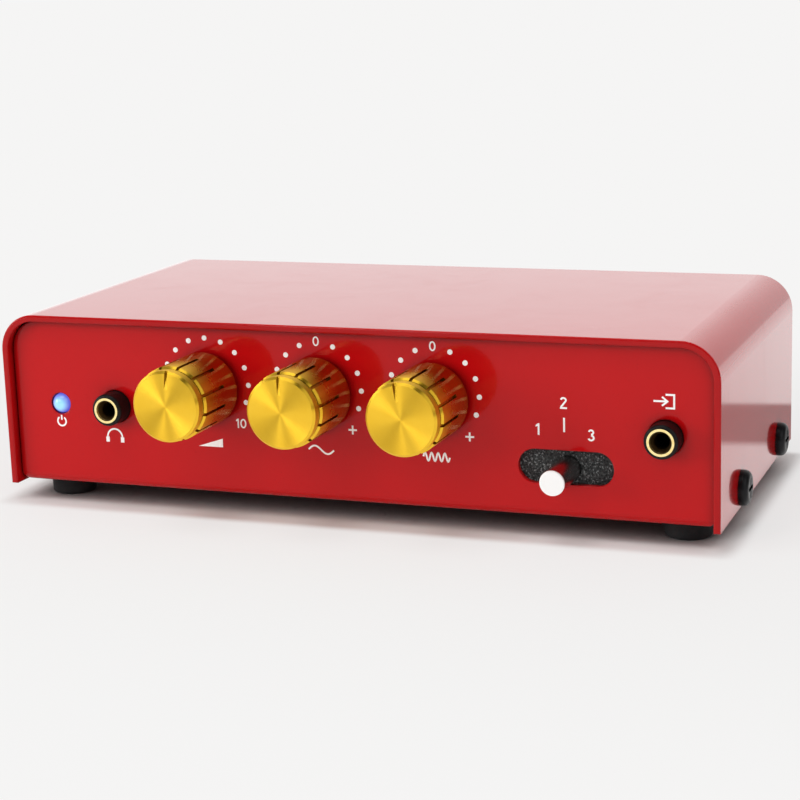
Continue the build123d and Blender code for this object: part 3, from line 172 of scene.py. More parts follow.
class Finish:
    """One procedural material: short calls for the nodes that the finishes share."""

    def __init__(self, name, colour=(0.5, 0.5, 0.5), roughness=0.5, metallic=0.0):
        self.material = bpy.data.materials.new(name)
        self.material.use_nodes = True
        self.tree = self.material.node_tree
        self.tree.nodes.clear()
        self.output = self.add("ShaderNodeOutputMaterial")
        self.shader = self.add("ShaderNodeBsdfPrincipled")
        self.join(self.shader.outputs[0], self.output.inputs["Surface"])
        self.put("Base Color", (*colour, 1.0))
        self.put("Roughness", roughness)
        self.put("Metallic", metallic)
        self.coords = self.add("ShaderNodeTexCoord").outputs["Object"]
        self.normal = None

    def add(self, kind, **settings):
        node = self.tree.nodes.new(kind)
        for key, value in settings.items():
            setattr(node, key, value)
        return node

    def join(self, source, target):
        self.tree.links.new(source, target)

    def feed(self, target, value):
        """Sets an input to a value, or links a node's output to it."""
        if isinstance(value, bpy.types.NodeSocket):
            self.join(value, target)
        else:
            target.default_value = value

    def put(self, socket, value):
        """Feeds an input of the shader."""
        self.feed(self.shader.inputs[socket], value)

    def stretched(self, stretch):
        node = self.add("ShaderNodeMapping")
        node.inputs["Scale"].default_value = stretch
        self.join(self.coords, node.inputs["Vector"])
        return node.outputs[0]

    def grain(self, size, detail=3.0, rough=0.55, stretch=None, distortion=0.0):
        """Noise whose features are about size metres across, from 0 to 1."""
        node = self.add("ShaderNodeTexNoise")
        self.join(self.stretched(stretch) if stretch else self.coords, node.inputs["Vector"])
        node.inputs["Scale"].default_value = 1.0 / size
        node.inputs["Detail"].default_value = detail
        node.inputs["Roughness"].default_value = rough
        node.inputs["Distortion"].default_value = distortion
        return node.outputs["Fac"]

    def cells(self, size):
        """The distance to the nearest of points that lie about size metres apart."""
        node = self.add("ShaderNodeTexVoronoi", feature="F1")
        self.join(self.coords, node.inputs["Vector"])
        node.inputs["Scale"].default_value = 1.0 / size
        return node.outputs["Distance"]

    def span(self, value, low, high, to_low=0.0, to_high=1.0, smooth=False):
        """Maps low..high to to_low..to_high, and stops at both ends."""
        node = self.add("ShaderNodeMapRange")
        if smooth:
            node.interpolation_type = "SMOOTHSTEP"
        self.join(value, node.inputs["Value"])
        node.inputs["From Min"].default_value = low
        node.inputs["From Max"].default_value = high
        node.inputs["To Min"].default_value = to_low
        node.inputs["To Max"].default_value = to_high
        return node.outputs["Result"]

    def maths(self, operation, a, b=0.0):
        node = self.add("ShaderNodeMath", operation=operation)
        self.feed(node.inputs[0], a)
        self.feed(node.inputs[1], b)
        return node.outputs[0]

    def length(self, a, b):
        """The length of a line that runs a one way and b square to it."""
        squares = self.maths("ADD", self.maths("MULTIPLY", a, a), self.maths("MULTIPLY", b, b))
        return self.maths("SQRT", squares)

    def vector(self, operation, a, b=None):
        node = self.add("ShaderNodeVectorMath", operation=operation)
        self.join(a, node.inputs[0])
        if b is not None:
            node.inputs[1].default_value = b
        return node

    def mix(self, factor, a, b):
        node = self.add("ShaderNodeMix", data_type="RGBA")
        self.feed(node.inputs["Factor"], factor)
        for socket, value in ((node.inputs[6], a), (node.inputs[7], b)):
            linked = isinstance(value, bpy.types.NodeSocket)
            self.feed(socket, value if linked else (*value, 1.0))
        return node.outputs[2]

    def scaled(self, colour, factor):
        node = self.vector("SCALE", colour)
        self.join(factor, node.inputs["Scale"])
        return node.outputs[0]

    def painted_hollow_shade(self, distance, closed, open_value, darkest):
        """Painted shade: a factor from ambient occlusion that falls to darkest where the surface
        is shut in.
        """
        node = self.add("ShaderNodeAmbientOcclusion", samples=EDGE_AND_CREVICE_SAMPLES)
        node.inputs["Distance"].default_value = distance
        return self.span(node.outputs["AO"], closed, open_value, darkest, 1.0)

    def axes(self):
        """The object coordinates as three numbers, in metres."""
        node = self.add("ShaderNodeSeparateXYZ")
        self.join(self.coords, node.inputs[0])
        return node.outputs[0], node.outputs[1], node.outputs[2]

    def behind(self, face_y, start, end, to_low=0.0, to_high=1.0):
        """Maps the depth behind a face that points forward, in millimetres."""
        y = self.axes()[1]
        return self.span(y, (face_y + start) * MM, (face_y + end) * MM, to_low, to_high)

    def edges(self, radius, sharp=0.96, soft=0.80):
        """1 along the edges of the solid and 0 on its faces; the edges also shade as rounded."""
        bevel = self.add("ShaderNodeBevel", samples=EDGE_AND_CREVICE_SAMPLES)
        bevel.inputs["Radius"].default_value = radius
        self.normal = self.normal or bevel.outputs[0]
        geometry = self.add("ShaderNodeNewGeometry")
        dot = self.add("ShaderNodeVectorMath", operation="DOT_PRODUCT")
        self.join(bevel.outputs[0], dot.inputs[0])
        self.join(geometry.outputs["Normal"], dot.inputs[1])
        return self.span(dot.outputs["Value"], sharp, soft)

    def bump(self, height, depth, strength=1.0):
        """Relief of the given depth in metres, over any relief added before it."""
        node = self.add("ShaderNodeBump")
        node.inputs["Distance"].default_value = depth
        node.inputs["Strength"].default_value = strength
        self.join(height, node.inputs["Height"])
        if self.normal is not None:
            self.join(self.normal, node.inputs["Normal"])
        self.normal = node.outputs["Normal"]
        self.put("Normal", self.normal)


def case_paint():
    """Glossy red powder coat: a faint orange peel, small flecks, rubbed edges, and painted shade
    in its corners and on the sheet's cut edges.
    """
    f = Finish("case_paint_finish")
    tone = f.grain(0.045, detail=2.0)
    fleck = f.span(f.grain(0.0006, detail=2.0), 0.62, 0.72)
    red = f.mix(tone, (0.520, 0.0038, 0.0056), (0.495, 0.0031, 0.0047))
    red = f.mix(f.maths("MULTIPLY", fleck, 0.35), red, (0.39, 0.003, 0.004))
    worn = f.maths("MULTIPLY", f.edges(0.0005), f.span(f.grain(0.004, detail=5.0), 0.50, 0.62))
    red = f.mix(f.maths("MULTIPLY", worn, 0.35), red, (0.80, 0.16, 0.15))
    # Painted shade: ambient occlusion darkens the colour in the case's corners and recesses,
    # under the lip and round the screw heads and the slot.
    corner_shade = f.painted_hollow_shade(0.0032, 0.30, 0.85, 0.2)
    # Painted shade: the cut edge of the cover's sheet, at its front and rear ends, is darkened in
    # its colour.
    from_middle = f.maths("ABSOLUTE", f.maths("SUBTRACT", f.axes()[1], CASE_MIDDLE_Y * MM))
    start, full = ((CASE_DEPTH / 2 - inset) * MM for inset in SHEET_EDGE)
    cut_edge_painted_shade = f.span(from_middle, start, full, 1.0, SHEET_EDGE_SHADE)
    f.put("Base Color", f.scaled(red, f.maths("MULTIPLY", corner_shade, cut_edge_painted_shade)))
    smears = f.grain(0.018, detail=6.0, rough=0.62, stretch=(1.0, 1.0, 0.45), distortion=0.8)
    f.put("Roughness", f.span(smears, 0.35, 0.70, 0.10, 0.20))
    f.put("IOR", 1.2)
    f.put("Coat Weight", 0.9)
    f.put("Coat IOR", 1.2)
    f.put("Coat Roughness", 0.04)
    f.bump(f.grain(0.0024, detail=2.0), 0.000012, 0.6)
    f.put("Coat Normal", f.normal)
    return f.material


def knob_gold(name):
    """Gold-anodised aluminium, spun about that knob's axis and finer towards the rear; its colour
    turns red towards the rear as a painted reflection of the red panel and painted shade, and
    darkens in its hollows as painted shade.
    """
    f = Finish(name + "_knob_gold", metallic=1.0)
    gold_and_painted_shade = f.mix(f.grain(0.004, detail=4.0), (0.89, 0.56, 0.046), (0.85, 0.50, 0.030))
    # Painted reflection and shade: the gold turns dark red towards the rear, where the flank
    # mirrors the red panel and the panel blocks the light.
    gold_and_painted_shade = f.mix(f.behind(KNOB_FACE_Y, *KNOB_PAINTED_SHADE), gold_and_painted_shade, (0.56, 0.22, 0.018))
    # Painted shade: ambient occlusion darkens the gold in the flutes and the knob's other
    # hollows.
    f.put("Base Color", f.scaled(gold_and_painted_shade, f.painted_hollow_shade(0.0009, 0.35, 0.85, 0.48)))
    satin = f.span(f.grain(0.0007, detail=2.0), 0.3, 0.7, 0.35, 0.39)
    finer = f.behind(KNOB_FACE_Y, *KNOB_FINER, 0.0, 0.13)
    f.put("Roughness", f.maths("SUBTRACT", satin, finer))
    f.put("Anisotropic", 0.92)
    f.put("Anisotropic Rotation", 0.25)
    f.put("Tangent", f.add("ShaderNodeTangent", direction_type="RADIAL", axis="Y").outputs[0])
    # The turning marks: noise over the distance from the axis and along it.
    low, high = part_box(name + "_knob")
    axis = (low + high) / 2
    from_axis = f.vector("SUBTRACT", f.coords, (axis.x, 0.0, axis.z)).outputs[0]
    flat = f.vector("MULTIPLY", from_axis, (1.0, 0.0, 1.0)).outputs[0]
    place = f.add("ShaderNodeCombineXYZ")
    f.join(f.vector("LENGTH", flat).outputs["Value"], place.inputs[0])
    f.join(f.axes()[1], place.inputs[1])
    rings = f.add("ShaderNodeTexNoise", noise_dimensions="2D")
    f.join(place.outputs[0], rings.inputs["Vector"])
    rings.inputs["Scale"].default_value = KNOB_MARKS_SCALE
    rings.inputs["Detail"].default_value = 3.0
    f.bump(rings.outputs["Fac"], 0.000004, 0.4)
    return f.material


def metal(name, light, dark, roughness=(0.18, 0.34), stretch=None):
    """Plain plated or turned metal, slightly uneven, duller in its marks."""
    f = Finish(name, metallic=1.0)
    marks = f.grain(0.0008, detail=5.0, rough=0.65, stretch=stretch)
    f.put("Base Color", f.mix(f.span(marks, 0.35, 0.70), light, dark))
    f.put("Roughness", f.span(marks, 0.30, 0.72, *roughness))
    f.bump(marks, 0.000008, 0.6)
    return f.material


def gilt():
    """Thin gold plate, bright on the rims and darker down the jacks' mouths."""
    f = Finish("gilt_finish", metallic=1.0)
    marks = f.grain(0.0008, detail=5.0, rough=0.65)
    plate = f.mix(f.span(marks, 0.35, 0.70), (1.0, 0.84, 0.42), (0.90, 0.68, 0.26))
    # Only the front half: the rear sockets' contacts stay bright.
    front_half = f.span(f.axes()[1], 0.0, -0.001)
    darker_inside = f.maths("MULTIPLY", f.behind(JACK_TIP_Y, *JACK_DARKER_INSIDE), front_half)
    f.put("Base Color", f.mix(darker_inside, plate, (0.11, 0.065, 0.025)))
    polish = f.span(marks, 0.30, 0.72, 0.14, 0.26)
    f.put("Roughness", f.maths("ADD", polish, f.maths("MULTIPLY", darker_inside, 0.3)))
    f.bump(marks, 0.000008, 0.6)
    return f.material


def plastic(name, light, dark, roughness=(0.28, 0.42), relief=0.00002, edge=None, specular=0.5):
    """Moulded plastic with a spark-eroded grain and slightly rubbed edges."""
    f = Finish(name)
    f.put("Specular IOR Level", specular)
    grain = f.grain(0.0006, detail=4.0)
    colour = f.mix(f.grain(0.005, detail=3.0), light, dark)
    if edge:
        colour = f.mix(f.maths("MULTIPLY", f.edges(0.00025), 0.5), colour, edge)
    f.put("Base Color", colour)
    f.put("Roughness", f.span(grain, 0.3, 0.7, *roughness))
    f.bump(grain, relief, 0.5)
    return f.material


def screw_black():
    """Black oxide on steel, worn to a grey sheen on the rims."""
    f = Finish("screw_black_finish", metallic=0.6)
    marks = f.grain(0.0005, detail=5.0)
    oxide = f.mix(marks, (0.007, 0.007, 0.008), (0.018, 0.018, 0.020))
    rim = f.maths("MULTIPLY", f.edges(0.0002), 0.4)
    f.put("Base Color", f.mix(rim, oxide, (0.07, 0.07, 0.073)))
    f.put("Specular IOR Level", 0.3)
    f.put("Roughness", f.span(marks, 0.3, 0.7, 0.30, 0.46))
    f.bump(marks, 0.00002, 0.5)
    return f.material


def foot_rubber():
    """Matt rubber with a dusty bloom."""
    f = Finish("foot_rubber_finish")
    bloom = f.grain(0.003, detail=6.0, rough=0.7)
    dusty = f.span(bloom, 0.45, 0.8)
    f.put("Base Color", f.mix(dusty, (0.007, 0.007, 0.008), (0.026, 0.025, 0.024)))
    f.put("Roughness", f.span(bloom, 0.3, 0.8, 0.72, 0.9))
    f.put("Specular IOR Level", 0.3)
    f.put("Sheen Weight", 0.04)
    f.put("Sheen Roughness", 0.6)
    f.bump(f.grain(0.0004, detail=3.0), 0.00004, 0.6)
    return f.material


def lever_metal():
    """Polished nickel round the side of the lever and a satin face on its end; the end is painted
    near white as a painted highlight, and the side dark grey as painted shade.
    """
    f = Finish("lever_metal_finish", metallic=1.0)
    end_satin_and_highlight = f.behind(LEVER_TIP_Y, *LEVER_END_SATIN_AND_HIGHLIGHT)
    marks = f.grain(0.0006, detail=4.0, stretch=(1.0, 0.2, 1.0))
    # Painted highlight and shade: the end face's colour is near white and the side's dark grey,
    # one metal in two tones.
    f.put("Base Color", f.mix(end_satin_and_highlight, (0.42, 0.40, 0.40), (0.98, 0.97, 0.96)))
    polish = f.span(marks, 0.3, 0.7, 0.20, 0.28)
    f.put("Roughness", f.maths("ADD", polish, f.maths("MULTIPLY", end_satin_and_highlight, 0.4)))
    f.bump(marks, 0.000006, 0.5)
    return f.material


def dust_foam():
    """Open-cell foam: dark cells between paler struts."""
    f = Finish("dust_foam_finish", roughness=0.95)
    cell = f.cells(0.00055)
    speck = f.span(f.grain(0.00042, detail=2.0), 0.57, 0.67)
    dark = f.mix(f.span(cell, 0.15, 0.75), (0.005, 0.006, 0.006), (0.050, 0.053, 0.053))
    f.put("Base Color", f.mix(speck, dark, (0.24, 0.25, 0.25)))
    f.bump(cell, 0.00018, 0.9)
    f.bump(f.grain(0.00012, detail=2.0), 0.00006, 0.6)
    return f.material


def led_lens():
    """A lit diffusing lens: brightest over the chip in its middle."""
    f = Finish("led_lens_finish", colour=(0.06, 0.08, 0.25), roughness=0.22)
    x, _, z = f.axes()
    across, up = f.maths("SUBTRACT", x, LED_X * MM), f.maths("SUBTRACT", z, LED_Z * MM)
    outer, inner = LED_CORE
    core = f.span(f.length(across, up), outer * MM, inner * MM, smooth=True)
    haze = f.grain(0.0011, detail=3.0)
    f.put("Emission Color", f.mix(core, (0.14, 0.12, 0.80), (0.36, 0.82, 0.98)))
    glow = f.span(core, 0.0, 1.0, 0.70, 0.85)
    f.put("Emission Strength", f.maths("ADD", glow, f.maths("MULTIPLY", haze, 0.1)))
    f.put("Coat Weight", 0.6)
    f.bump(haze, 0.00003, 0.3)
    return f.material


def solder_mask():
    """A green circuit board: tracks under the mask and tinned pads."""
    f = Finish("solder_mask_finish")
    tracks = f.add("ShaderNodeTexBrick", offset=0.37, squash=1.0)
    f.join(f.coords, tracks.inputs["Vector"])
    tracks.inputs["Scale"].default_value = BOARD_TRACKS_SCALE
    tracks.inputs["Mortar Size"].default_value = 0.09
    tracks.inputs["Mortar Smooth"].default_value = 0.3
    tracks.inputs["Color1"].default_value = (0.012, 0.11, 0.045, 1.0)
    tracks.inputs["Color2"].default_value = (0.015, 0.13, 0.052, 1.0)
    tracks.inputs["Mortar"].default_value = (0.03, 0.24, 0.10, 1.0)
    pads = f.span(f.cells(0.0051), 0.16, 0.13)
    f.put("Base Color", f.mix(pads, tracks.outputs["Color"], (0.62, 0.61, 0.58)))
    f.put("Roughness", f.span(f.grain(0.0015, detail=4.0), 0.3, 0.7, 0.24, 0.42))
    f.bump(tracks.outputs["Fac"], 0.00003, 0.5)
    return f.material


def resistor_coat():
    """Blue lacquer with coloured code bands across each body."""
    f = Finish("resistor_coat_finish")
    along = f.maths("MULTIPLY", f.axes()[0], 1.0 / (RESISTOR_BAND_PITCH * MM))
    band = f.span(f.maths("FRACT", along), 0.30, 0.26)
    hue = f.mix(f.span(f.grain(0.003), 0.45, 0.55), (0.35, 0.05, 0.02), (0.02, 0.02, 0.02))
    f.put("Base Color", f.mix(band, (0.13, 0.33, 0.48), hue))
    f.put("Roughness", f.span(f.grain(0.0008), 0.3, 0.7, 0.3, 0.5))
    f.bump(f.grain(0.0009, detail=3.0), 0.00005, 0.5)
    return f.material


def can_sleeve():
    """A printed shrink sleeve with bare aluminium on top."""
    f = Finish("can_sleeve_finish")
    low, high = CAN_TOP_Z
    top = f.span(f.axes()[2], low * MM, high * MM)
    marks = f.grain(0.002, detail=4.0)
    sleeve = f.mix(marks, (0.035, 0.038, 0.075), (0.050, 0.052, 0.095))
    f.put("Base Color", f.mix(top, sleeve, (0.72, 0.72, 0.72)))
    f.put("Metallic", f.span(top, 0.0, 1.0, 0.1, 1.0))
    f.put("Roughness", f.span(marks, 0.3, 0.7, 0.22, 0.40))
    f.bump(marks, 0.00004, 0.4)
    return f.material


def panel_ink():
    """Screen-printed white, slightly uneven."""
    f = Finish("panel_ink_finish")
    body = f.grain(0.0005, detail=4.0)
    f.put("Base Color", f.mix(f.span(body, 0.55, 0.85), (1.0, 0.98, 0.97), (0.96, 0.88, 0.86)))
    f.put("Roughness", f.span(body, 0.3, 0.7, 0.38, 0.55))
    f.bump(body, 0.000015, 0.6)
    return f.material


def finishes():
    """Every finish by the record's slot name, apart from the knobs', which have one each."""
    nickel_light, nickel_dark = (0.80, 0.78, 0.74), (0.62, 0.60, 0.57)
    return {
        "case_paint": case_paint(),
        "screw_black": screw_black(),
        "screw_steel": metal("screw_steel_finish", (0.72, 0.72, 0.73), (0.50, 0.50, 0.51)),
        "foot_rubber": foot_rubber(),
        "core_plastic": plastic("core_plastic_finish", (0.018, 0.018, 0.019),
                                (0.030, 0.030, 0.031), edge=(0.09, 0.09, 0.09)),
        "shaft_metal": metal("shaft_metal_finish", (0.74, 0.73, 0.71), (0.55, 0.54, 0.53),
                             stretch=(1.0, 8.0, 1.0)),
        "bushing_metal": metal("bushing_metal_finish", (0.75, 0.72, 0.62), (0.55, 0.52, 0.44)),
        "element_resin": plastic("element_resin_finish", (0.13, 0.075, 0.04),
                                 (0.09, 0.05, 0.03)),
        "plated_steel": metal("plated_steel_finish", nickel_light, nickel_dark,
                              roughness=(0.12, 0.26)),
        "jack_plastic": plastic("jack_plastic_finish", (0.004, 0.004, 0.004),
                                (0.007, 0.007, 0.007), roughness=(0.36, 0.50),
                                relief=0.000006, edge=(0.010, 0.010, 0.010), specular=0.18),
        "gilt": gilt(),
        "led_lens": led_lens(),
        "lever_metal": lever_metal(),
        "dust_foam": dust_foam(),
        "solder_mask": solder_mask(),
        "part_black": plastic("part_black_finish", (0.020, 0.020, 0.021),
                              (0.032, 0.032, 0.034), edge=(0.08, 0.08, 0.08)),
        "standoff_brass": metal("standoff_brass_finish", (0.85, 0.62, 0.28), (0.62, 0.42, 0.16)),
        "resistor_coat": resistor_coat(),
        "film_coat": plastic("film_coat_finish", (0.62, 0.075, 0.03), (0.50, 0.05, 0.02),
                             roughness=(0.2, 0.34), relief=0.00006),
        "can_sleeve": can_sleeve(),
        "insulator_white": plastic("insulator_white_finish", (0.84, 0.83, 0.80),
                                   (0.76, 0.75, 0.71), roughness=(0.2, 0.34)),
        "insulator_red": plastic("insulator_red_finish", (0.62, 0.018, 0.018),
                                 (0.52, 0.012, 0.014), roughness=(0.2, 0.34)),
    }


def dress_nodes(looks):
    """Gives each CAD node the finish of its slot."""
    for name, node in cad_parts.items():
        for slot in node.material_slots:
            wanted = slot.material.name
            if wanted == "knob_gold":
                slot.material = knob_gold(name.removesuffix("_knob"))
            else:
                slot.material = looks[wanted]


# ---------------------------------------------------------------- printed panel

def add_object(name, data):
    """Puts a mesh, a lamp or a camera into the scene."""
    obj = bpy.data.objects.new(name, data)
    bpy.context.scene.collection.objects.link(obj)
    return obj


def panel_mesh(name, areas=(), lines=()):
    """Printed shapes on the panel, in millimetres: outlines of (x, z), and lines as two edges."""
    work = bmesh.new()

    def row(points, y):
        return [work.verts.new((x * MM, y * MM, z * MM)) for x, z in points]

    def front_y(index):
        return PANEL_Y - INK_THICKNESS - INK_STEP * (index % INK_STEPS)

    back_y = PANEL_Y + INK_SINK
    for index, outline in enumerate(areas):
        front, back = row(outline, front_y(index)), row(outline, back_y)
        work.faces.new(front)
        work.faces.new(back[::-1])
        for i in range(len(outline)):
            j = (i + 1) % len(outline)
            work.faces.new((front[j], front[i], back[i], back[j]))
    for index, (left, right) in enumerate(lines, len(areas)):
        front_left, front_right = row(left, front_y(index)), row(right, front_y(index))
        back_left, back_right = row(left, back_y), row(right, back_y)
        rings = list(zip(front_left, front_right, back_right, back_left))
        for ring, after in zip(rings, rings[1:]):
            for i in range(4):
                j = (i + 1) % 4
                work.faces.new((ring[i], ring[j], after[j], after[i]))
        work.faces.new(rings[0])
        work.faces.new(rings[-1][::-1])
    bmesh.ops.recalc_face_normals(work, faces=work.faces[:])
    mesh = bpy.data.meshes.new(name)
    work.to_mesh(mesh)
    work.free()
    return add_object(name, mesh)


def placed(points, x, z):
    return [(x + across, z + up) for across, up in points]


def disc(x, z, d, count=20):
    turns = [2 * math.pi * i / count for i in range(count)]
    return [(x + d / 2 * math.cos(turn), z + d / 2 * math.sin(turn)) for turn in turns]


def stroke(points, width=INK_LINE):
    """The two edges of a line of even width through the points, mitred at its corners."""
    left, right = [], []
    for i, (x, z) in enumerate(points):
        before = points[max(i - 1, 0)]
        after = points[min(i + 1, len(points) - 1)]
        away = Vector((after[0] - x, after[1] - z))
        into = Vector((x - before[0], z - before[1])) if i else away
        if i == len(points) - 1:
            away = into
        turn = (into.normalized() + away.normalized()).normalized()
        reach = width / 2 / max(0.5, turn.dot(into.normalized()))
        left.append((x - turn.y * reach, z + turn.x * reach))
        right.append((x + turn.y * reach, z - turn.x * reach))
    return left, right


def cross(x, z, size, width):
    """The outline of a plus sign."""
    a, b = size / 2, width / 2
    corner = [(b, a), (b, b), (a, b)]
    quarters = [(1, 1, corner), (1, -1, corner[::-1]), (-1, -1, corner), (-1, 1, corner[::-1])]
    return [(x + sx * px, z + sz * pz) for sx, sz, points in quarters for px, pz in points]


def arc(x, z, r, start, end, count=18, squeeze=1.0):
    """Points round a circle or an upright oval, angles in degrees clockwise from the top."""
    angles = [math.radians(start + (end - start) * i / count) for i in range(count + 1)]
    return [(x + r * squeeze * math.sin(a), z + r * math.cos(a)) for a in angles]


def one(x, z, h, w):
    """The outline of a plain 1 of height h, drawn with a line of width w."""
    top, foot = z + h / 2, z - h / 2
    right = x + ONE_STEM * h
    flag, flag_z = x - ONE_FLAG * h, z + ONE_FLAG_Z * h
    return [(right, top), (right - 0.7 * w, top), (flag, flag_z), (flag, flag_z - 1.05 * w),
            (right - w, top - 1.5 * w), (right - w, foot), (right, foot)]


def numeral(name, text, x, z, h):
    """A number of height h, centred on (x, z), drawn with lines of one width."""
    w = NUMERAL_LINE * h
    areas, lines = [], []

    def bowl(cx, up, radius, ends, squeeze):
        return arc(cx, z + up * h, radius * h - w / 2, *ends, BOWL_POINTS, squeeze)

    for i, digit in enumerate(text):
        cx = x + (i - (len(text) - 1) / 2) * NUMERAL_PITCH * h
        if digit == "0":
            lines.append(stroke(arc(cx, z, (h - w) / 2, 0, 360, ZERO_POINTS, ZERO_SQUEEZE), w))
        elif digit == "1":
            areas.append(one(cx, z, h, w))
        elif digit == "2":
            foot = z - (h - w) / 2
            top = bowl(cx, TWO_BOWL_Z, TWO_BOWL_R, TWO_BOWL_ARC, TWO_SQUEEZE)
            lines.append(stroke(top + [(cx - TWO_HEEL * h, foot + 0.5 * w)], w))
            lines.append(stroke([(cx - TWO_FOOT * h, foot), (cx + TWO_FOOT * h, foot)], w))
        elif digit == "3":
            for up, radius, ends in ((THREE_TOP_Z, THREE_TOP_R, THREE_TOP_ARC),
                                     (THREE_LOW_Z, THREE_LOW_R, THREE_LOW_ARC)):
                lines.append(stroke(bowl(cx, up, radius, ends, THREE_SQUEEZE), w))
    return panel_mesh(name, areas, lines)


def on_dial(knob, angle, radius):
    a = math.radians(angle)
    return KNOB_X[knob] + radius * math.sin(a), DIAL_Z + radius * math.cos(a)


def dial_marks(knob):
    """The ring of dots round a knob, its middle mark and its end marks."""
    dots = []
    for step in range(-DIAL_STEPS_EACH_SIDE, DIAL_STEPS_EACH_SIDE + 1):
        if step or knob == "volume":
            dots.append(disc(*on_dial(knob, step * DIAL_STEP, DIAL_DOT_R), DIAL_DOT_D))
    low = on_dial(knob, -DIAL_END_ANGLE, DIAL_END_R)
    high = on_dial(knob, DIAL_END_ANGLE, DIAL_END_R)
    if knob == "volume":
        return [
            panel_mesh(knob + "_dial_dots", dots),
            numeral(knob + "_dial_low", "0", *low, DIAL_NUMERAL_SIZE),
            numeral(knob + "_dial_high", "10", *high, DIAL_NUMERAL_SIZE),
        ]
    middle = on_dial(knob, 0.0, DIAL_NUMERAL_R)
    plus = cross(*high, DIAL_SIGN, INK_LINE)
    minus = stroke([(low[0] - DIAL_SIGN / 2, low[1]), (low[0] + DIAL_SIGN / 2, low[1])])
    return [
        panel_mesh(knob + "_dial_dots", dots + [plus], [minus]),
        numeral(knob + "_dial_middle", "0", *middle, DIAL_NUMERAL_SIZE),
    ]


def wave(x, z, cycles):
    """A sine line of that many cycles, centred on (x, z)."""
    count = WAVE_POINTS * cycles
    return [(x + WAVE_LENGTH * (i / count - 0.5),
             z + WAVE_HEIGHT / 2 * math.sin(2 * math.pi * cycles * i / count))
            for i in range(count + 1)]


def panel_symbols():
    """Plain symbols and numbers where the panel has its words."""
    x, z = POWER_SYMBOL
    power = [stroke(arc(x, z, POWER_ARC_R, *POWER_ARC)), stroke(placed(POWER_BAR, x, z))]
    x, z = HEADPHONE_SYMBOL
    phones = [stroke(arc(x, z + EARPIECE_Z[0], HEADBAND_R, *HEADBAND_ARC))]
    for ear in (-HEADBAND_R, HEADBAND_R):
        phones.append(stroke([(x + ear, z + end) for end in EARPIECE_Z], EARPIECE_LINE))
    wedge = placed(WEDGE, KNOB_X["volume"] + SYMBOL_SHIFT, SYMBOL_ROW_Z)
    slow = stroke(wave(KNOB_X["bass"] + SYMBOL_SHIFT, SYMBOL_ROW_Z, SLOW_WAVES))
    fast = stroke(wave(KNOB_X["treble"] + SYMBOL_SHIFT, SYMBOL_ROW_Z, FAST_WAVES))
    inward = [stroke(placed(points, *INPUT_SYMBOL))
              for points in (INPUT_SHAFT, INPUT_HEAD, INPUT_BRACKET)]
    tick = stroke([(SELECTOR_TICK_X, end) for end in SELECTOR_TICK_Z])
    pieces = [
        panel_mesh("power_symbol", lines=power),
        panel_mesh("headphone_symbol", lines=phones),
        panel_mesh("volume_symbol", [wedge]),
        panel_mesh("bass_symbol", lines=[slow]),
        panel_mesh("treble_symbol", lines=[fast]),
        panel_mesh("input_symbol", lines=inward),
        panel_mesh("selector_tick", lines=[tick]),
    ]
    for text, (x, z) in SELECTOR_NUMERALS.items():
        pieces.append(numeral("selector_numeral_" + text, text, x, z, SELECTOR_NUMERAL_SIZE))
    return pieces


def print_panel():
    ink = panel_ink()
    pieces = panel_symbols()
    for knob in KNOB_X:
        pieces.extend(dial_marks(knob))
    for piece in pieces:
        piece.data.materials.append(ink)
        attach(piece, "case")


# ---------------------------------------------------------------- foam strip

def obround(length, height, inset, count=24):
    """Points round a slot shape centred on nothing, in millimetres."""
    r = height / 2 - inset
    run = length / 2 - height / 2
    turns = [math.pi * i / count for i in range(count + 1)]
    right = [(run + r * math.sin(turn), r * math.cos(turn)) for turn in turns]
    return right + [(-x, -z) for x, z in right]


def foam_block():
    """The strip's plain block with a hole for the lever, smaller by the skin's relief."""
    front_y = FOAM_FRONT_Y + FOAM_EDGE
    depth = FOAM_BACK_Y - FOAM_FRONT_Y - 2 * FOAM_EDGE
    rim = placed(obround(FOAM_LENGTH, FOAM_HEIGHT, FOAM_EDGE), FOAM_X, FOAM_Z)
    bore = disc(FOAM_X, FOAM_HOLE_Z, 2 * (FOAM_HOLE_R + FOAM_HOLE_ROOM), FOAM_HOLE_POINTS)
    work = bmesh.new()
    loops = [[work.verts.new((x * MM, front_y * MM, z * MM)) for x, z in loop]
             for loop in (rim, bore)]
    edges = [work.edges.new((loop[i], loop[(i + 1) % len(loop)]))
             for loop in loops for i in range(len(loop))]
    bmesh.ops.triangle_fill(work, edges=edges, use_beauty=True)
    grown = bmesh.ops.extrude_face_region(work, geom=work.faces[:])
    moved = [e for e in grown["geom"] if isinstance(e, bmesh.types.BMVert)]
    bmesh.ops.translate(work, verts=moved, vec=(0.0, depth * MM, 0.0))
    bmesh.ops.recalc_face_normals(work, faces=work.faces[:])
    mesh = bpy.data.meshes.new("foam_strip")
    work.to_mesh(mesh)
    work.free()
    return add_object("foam_strip", mesh)


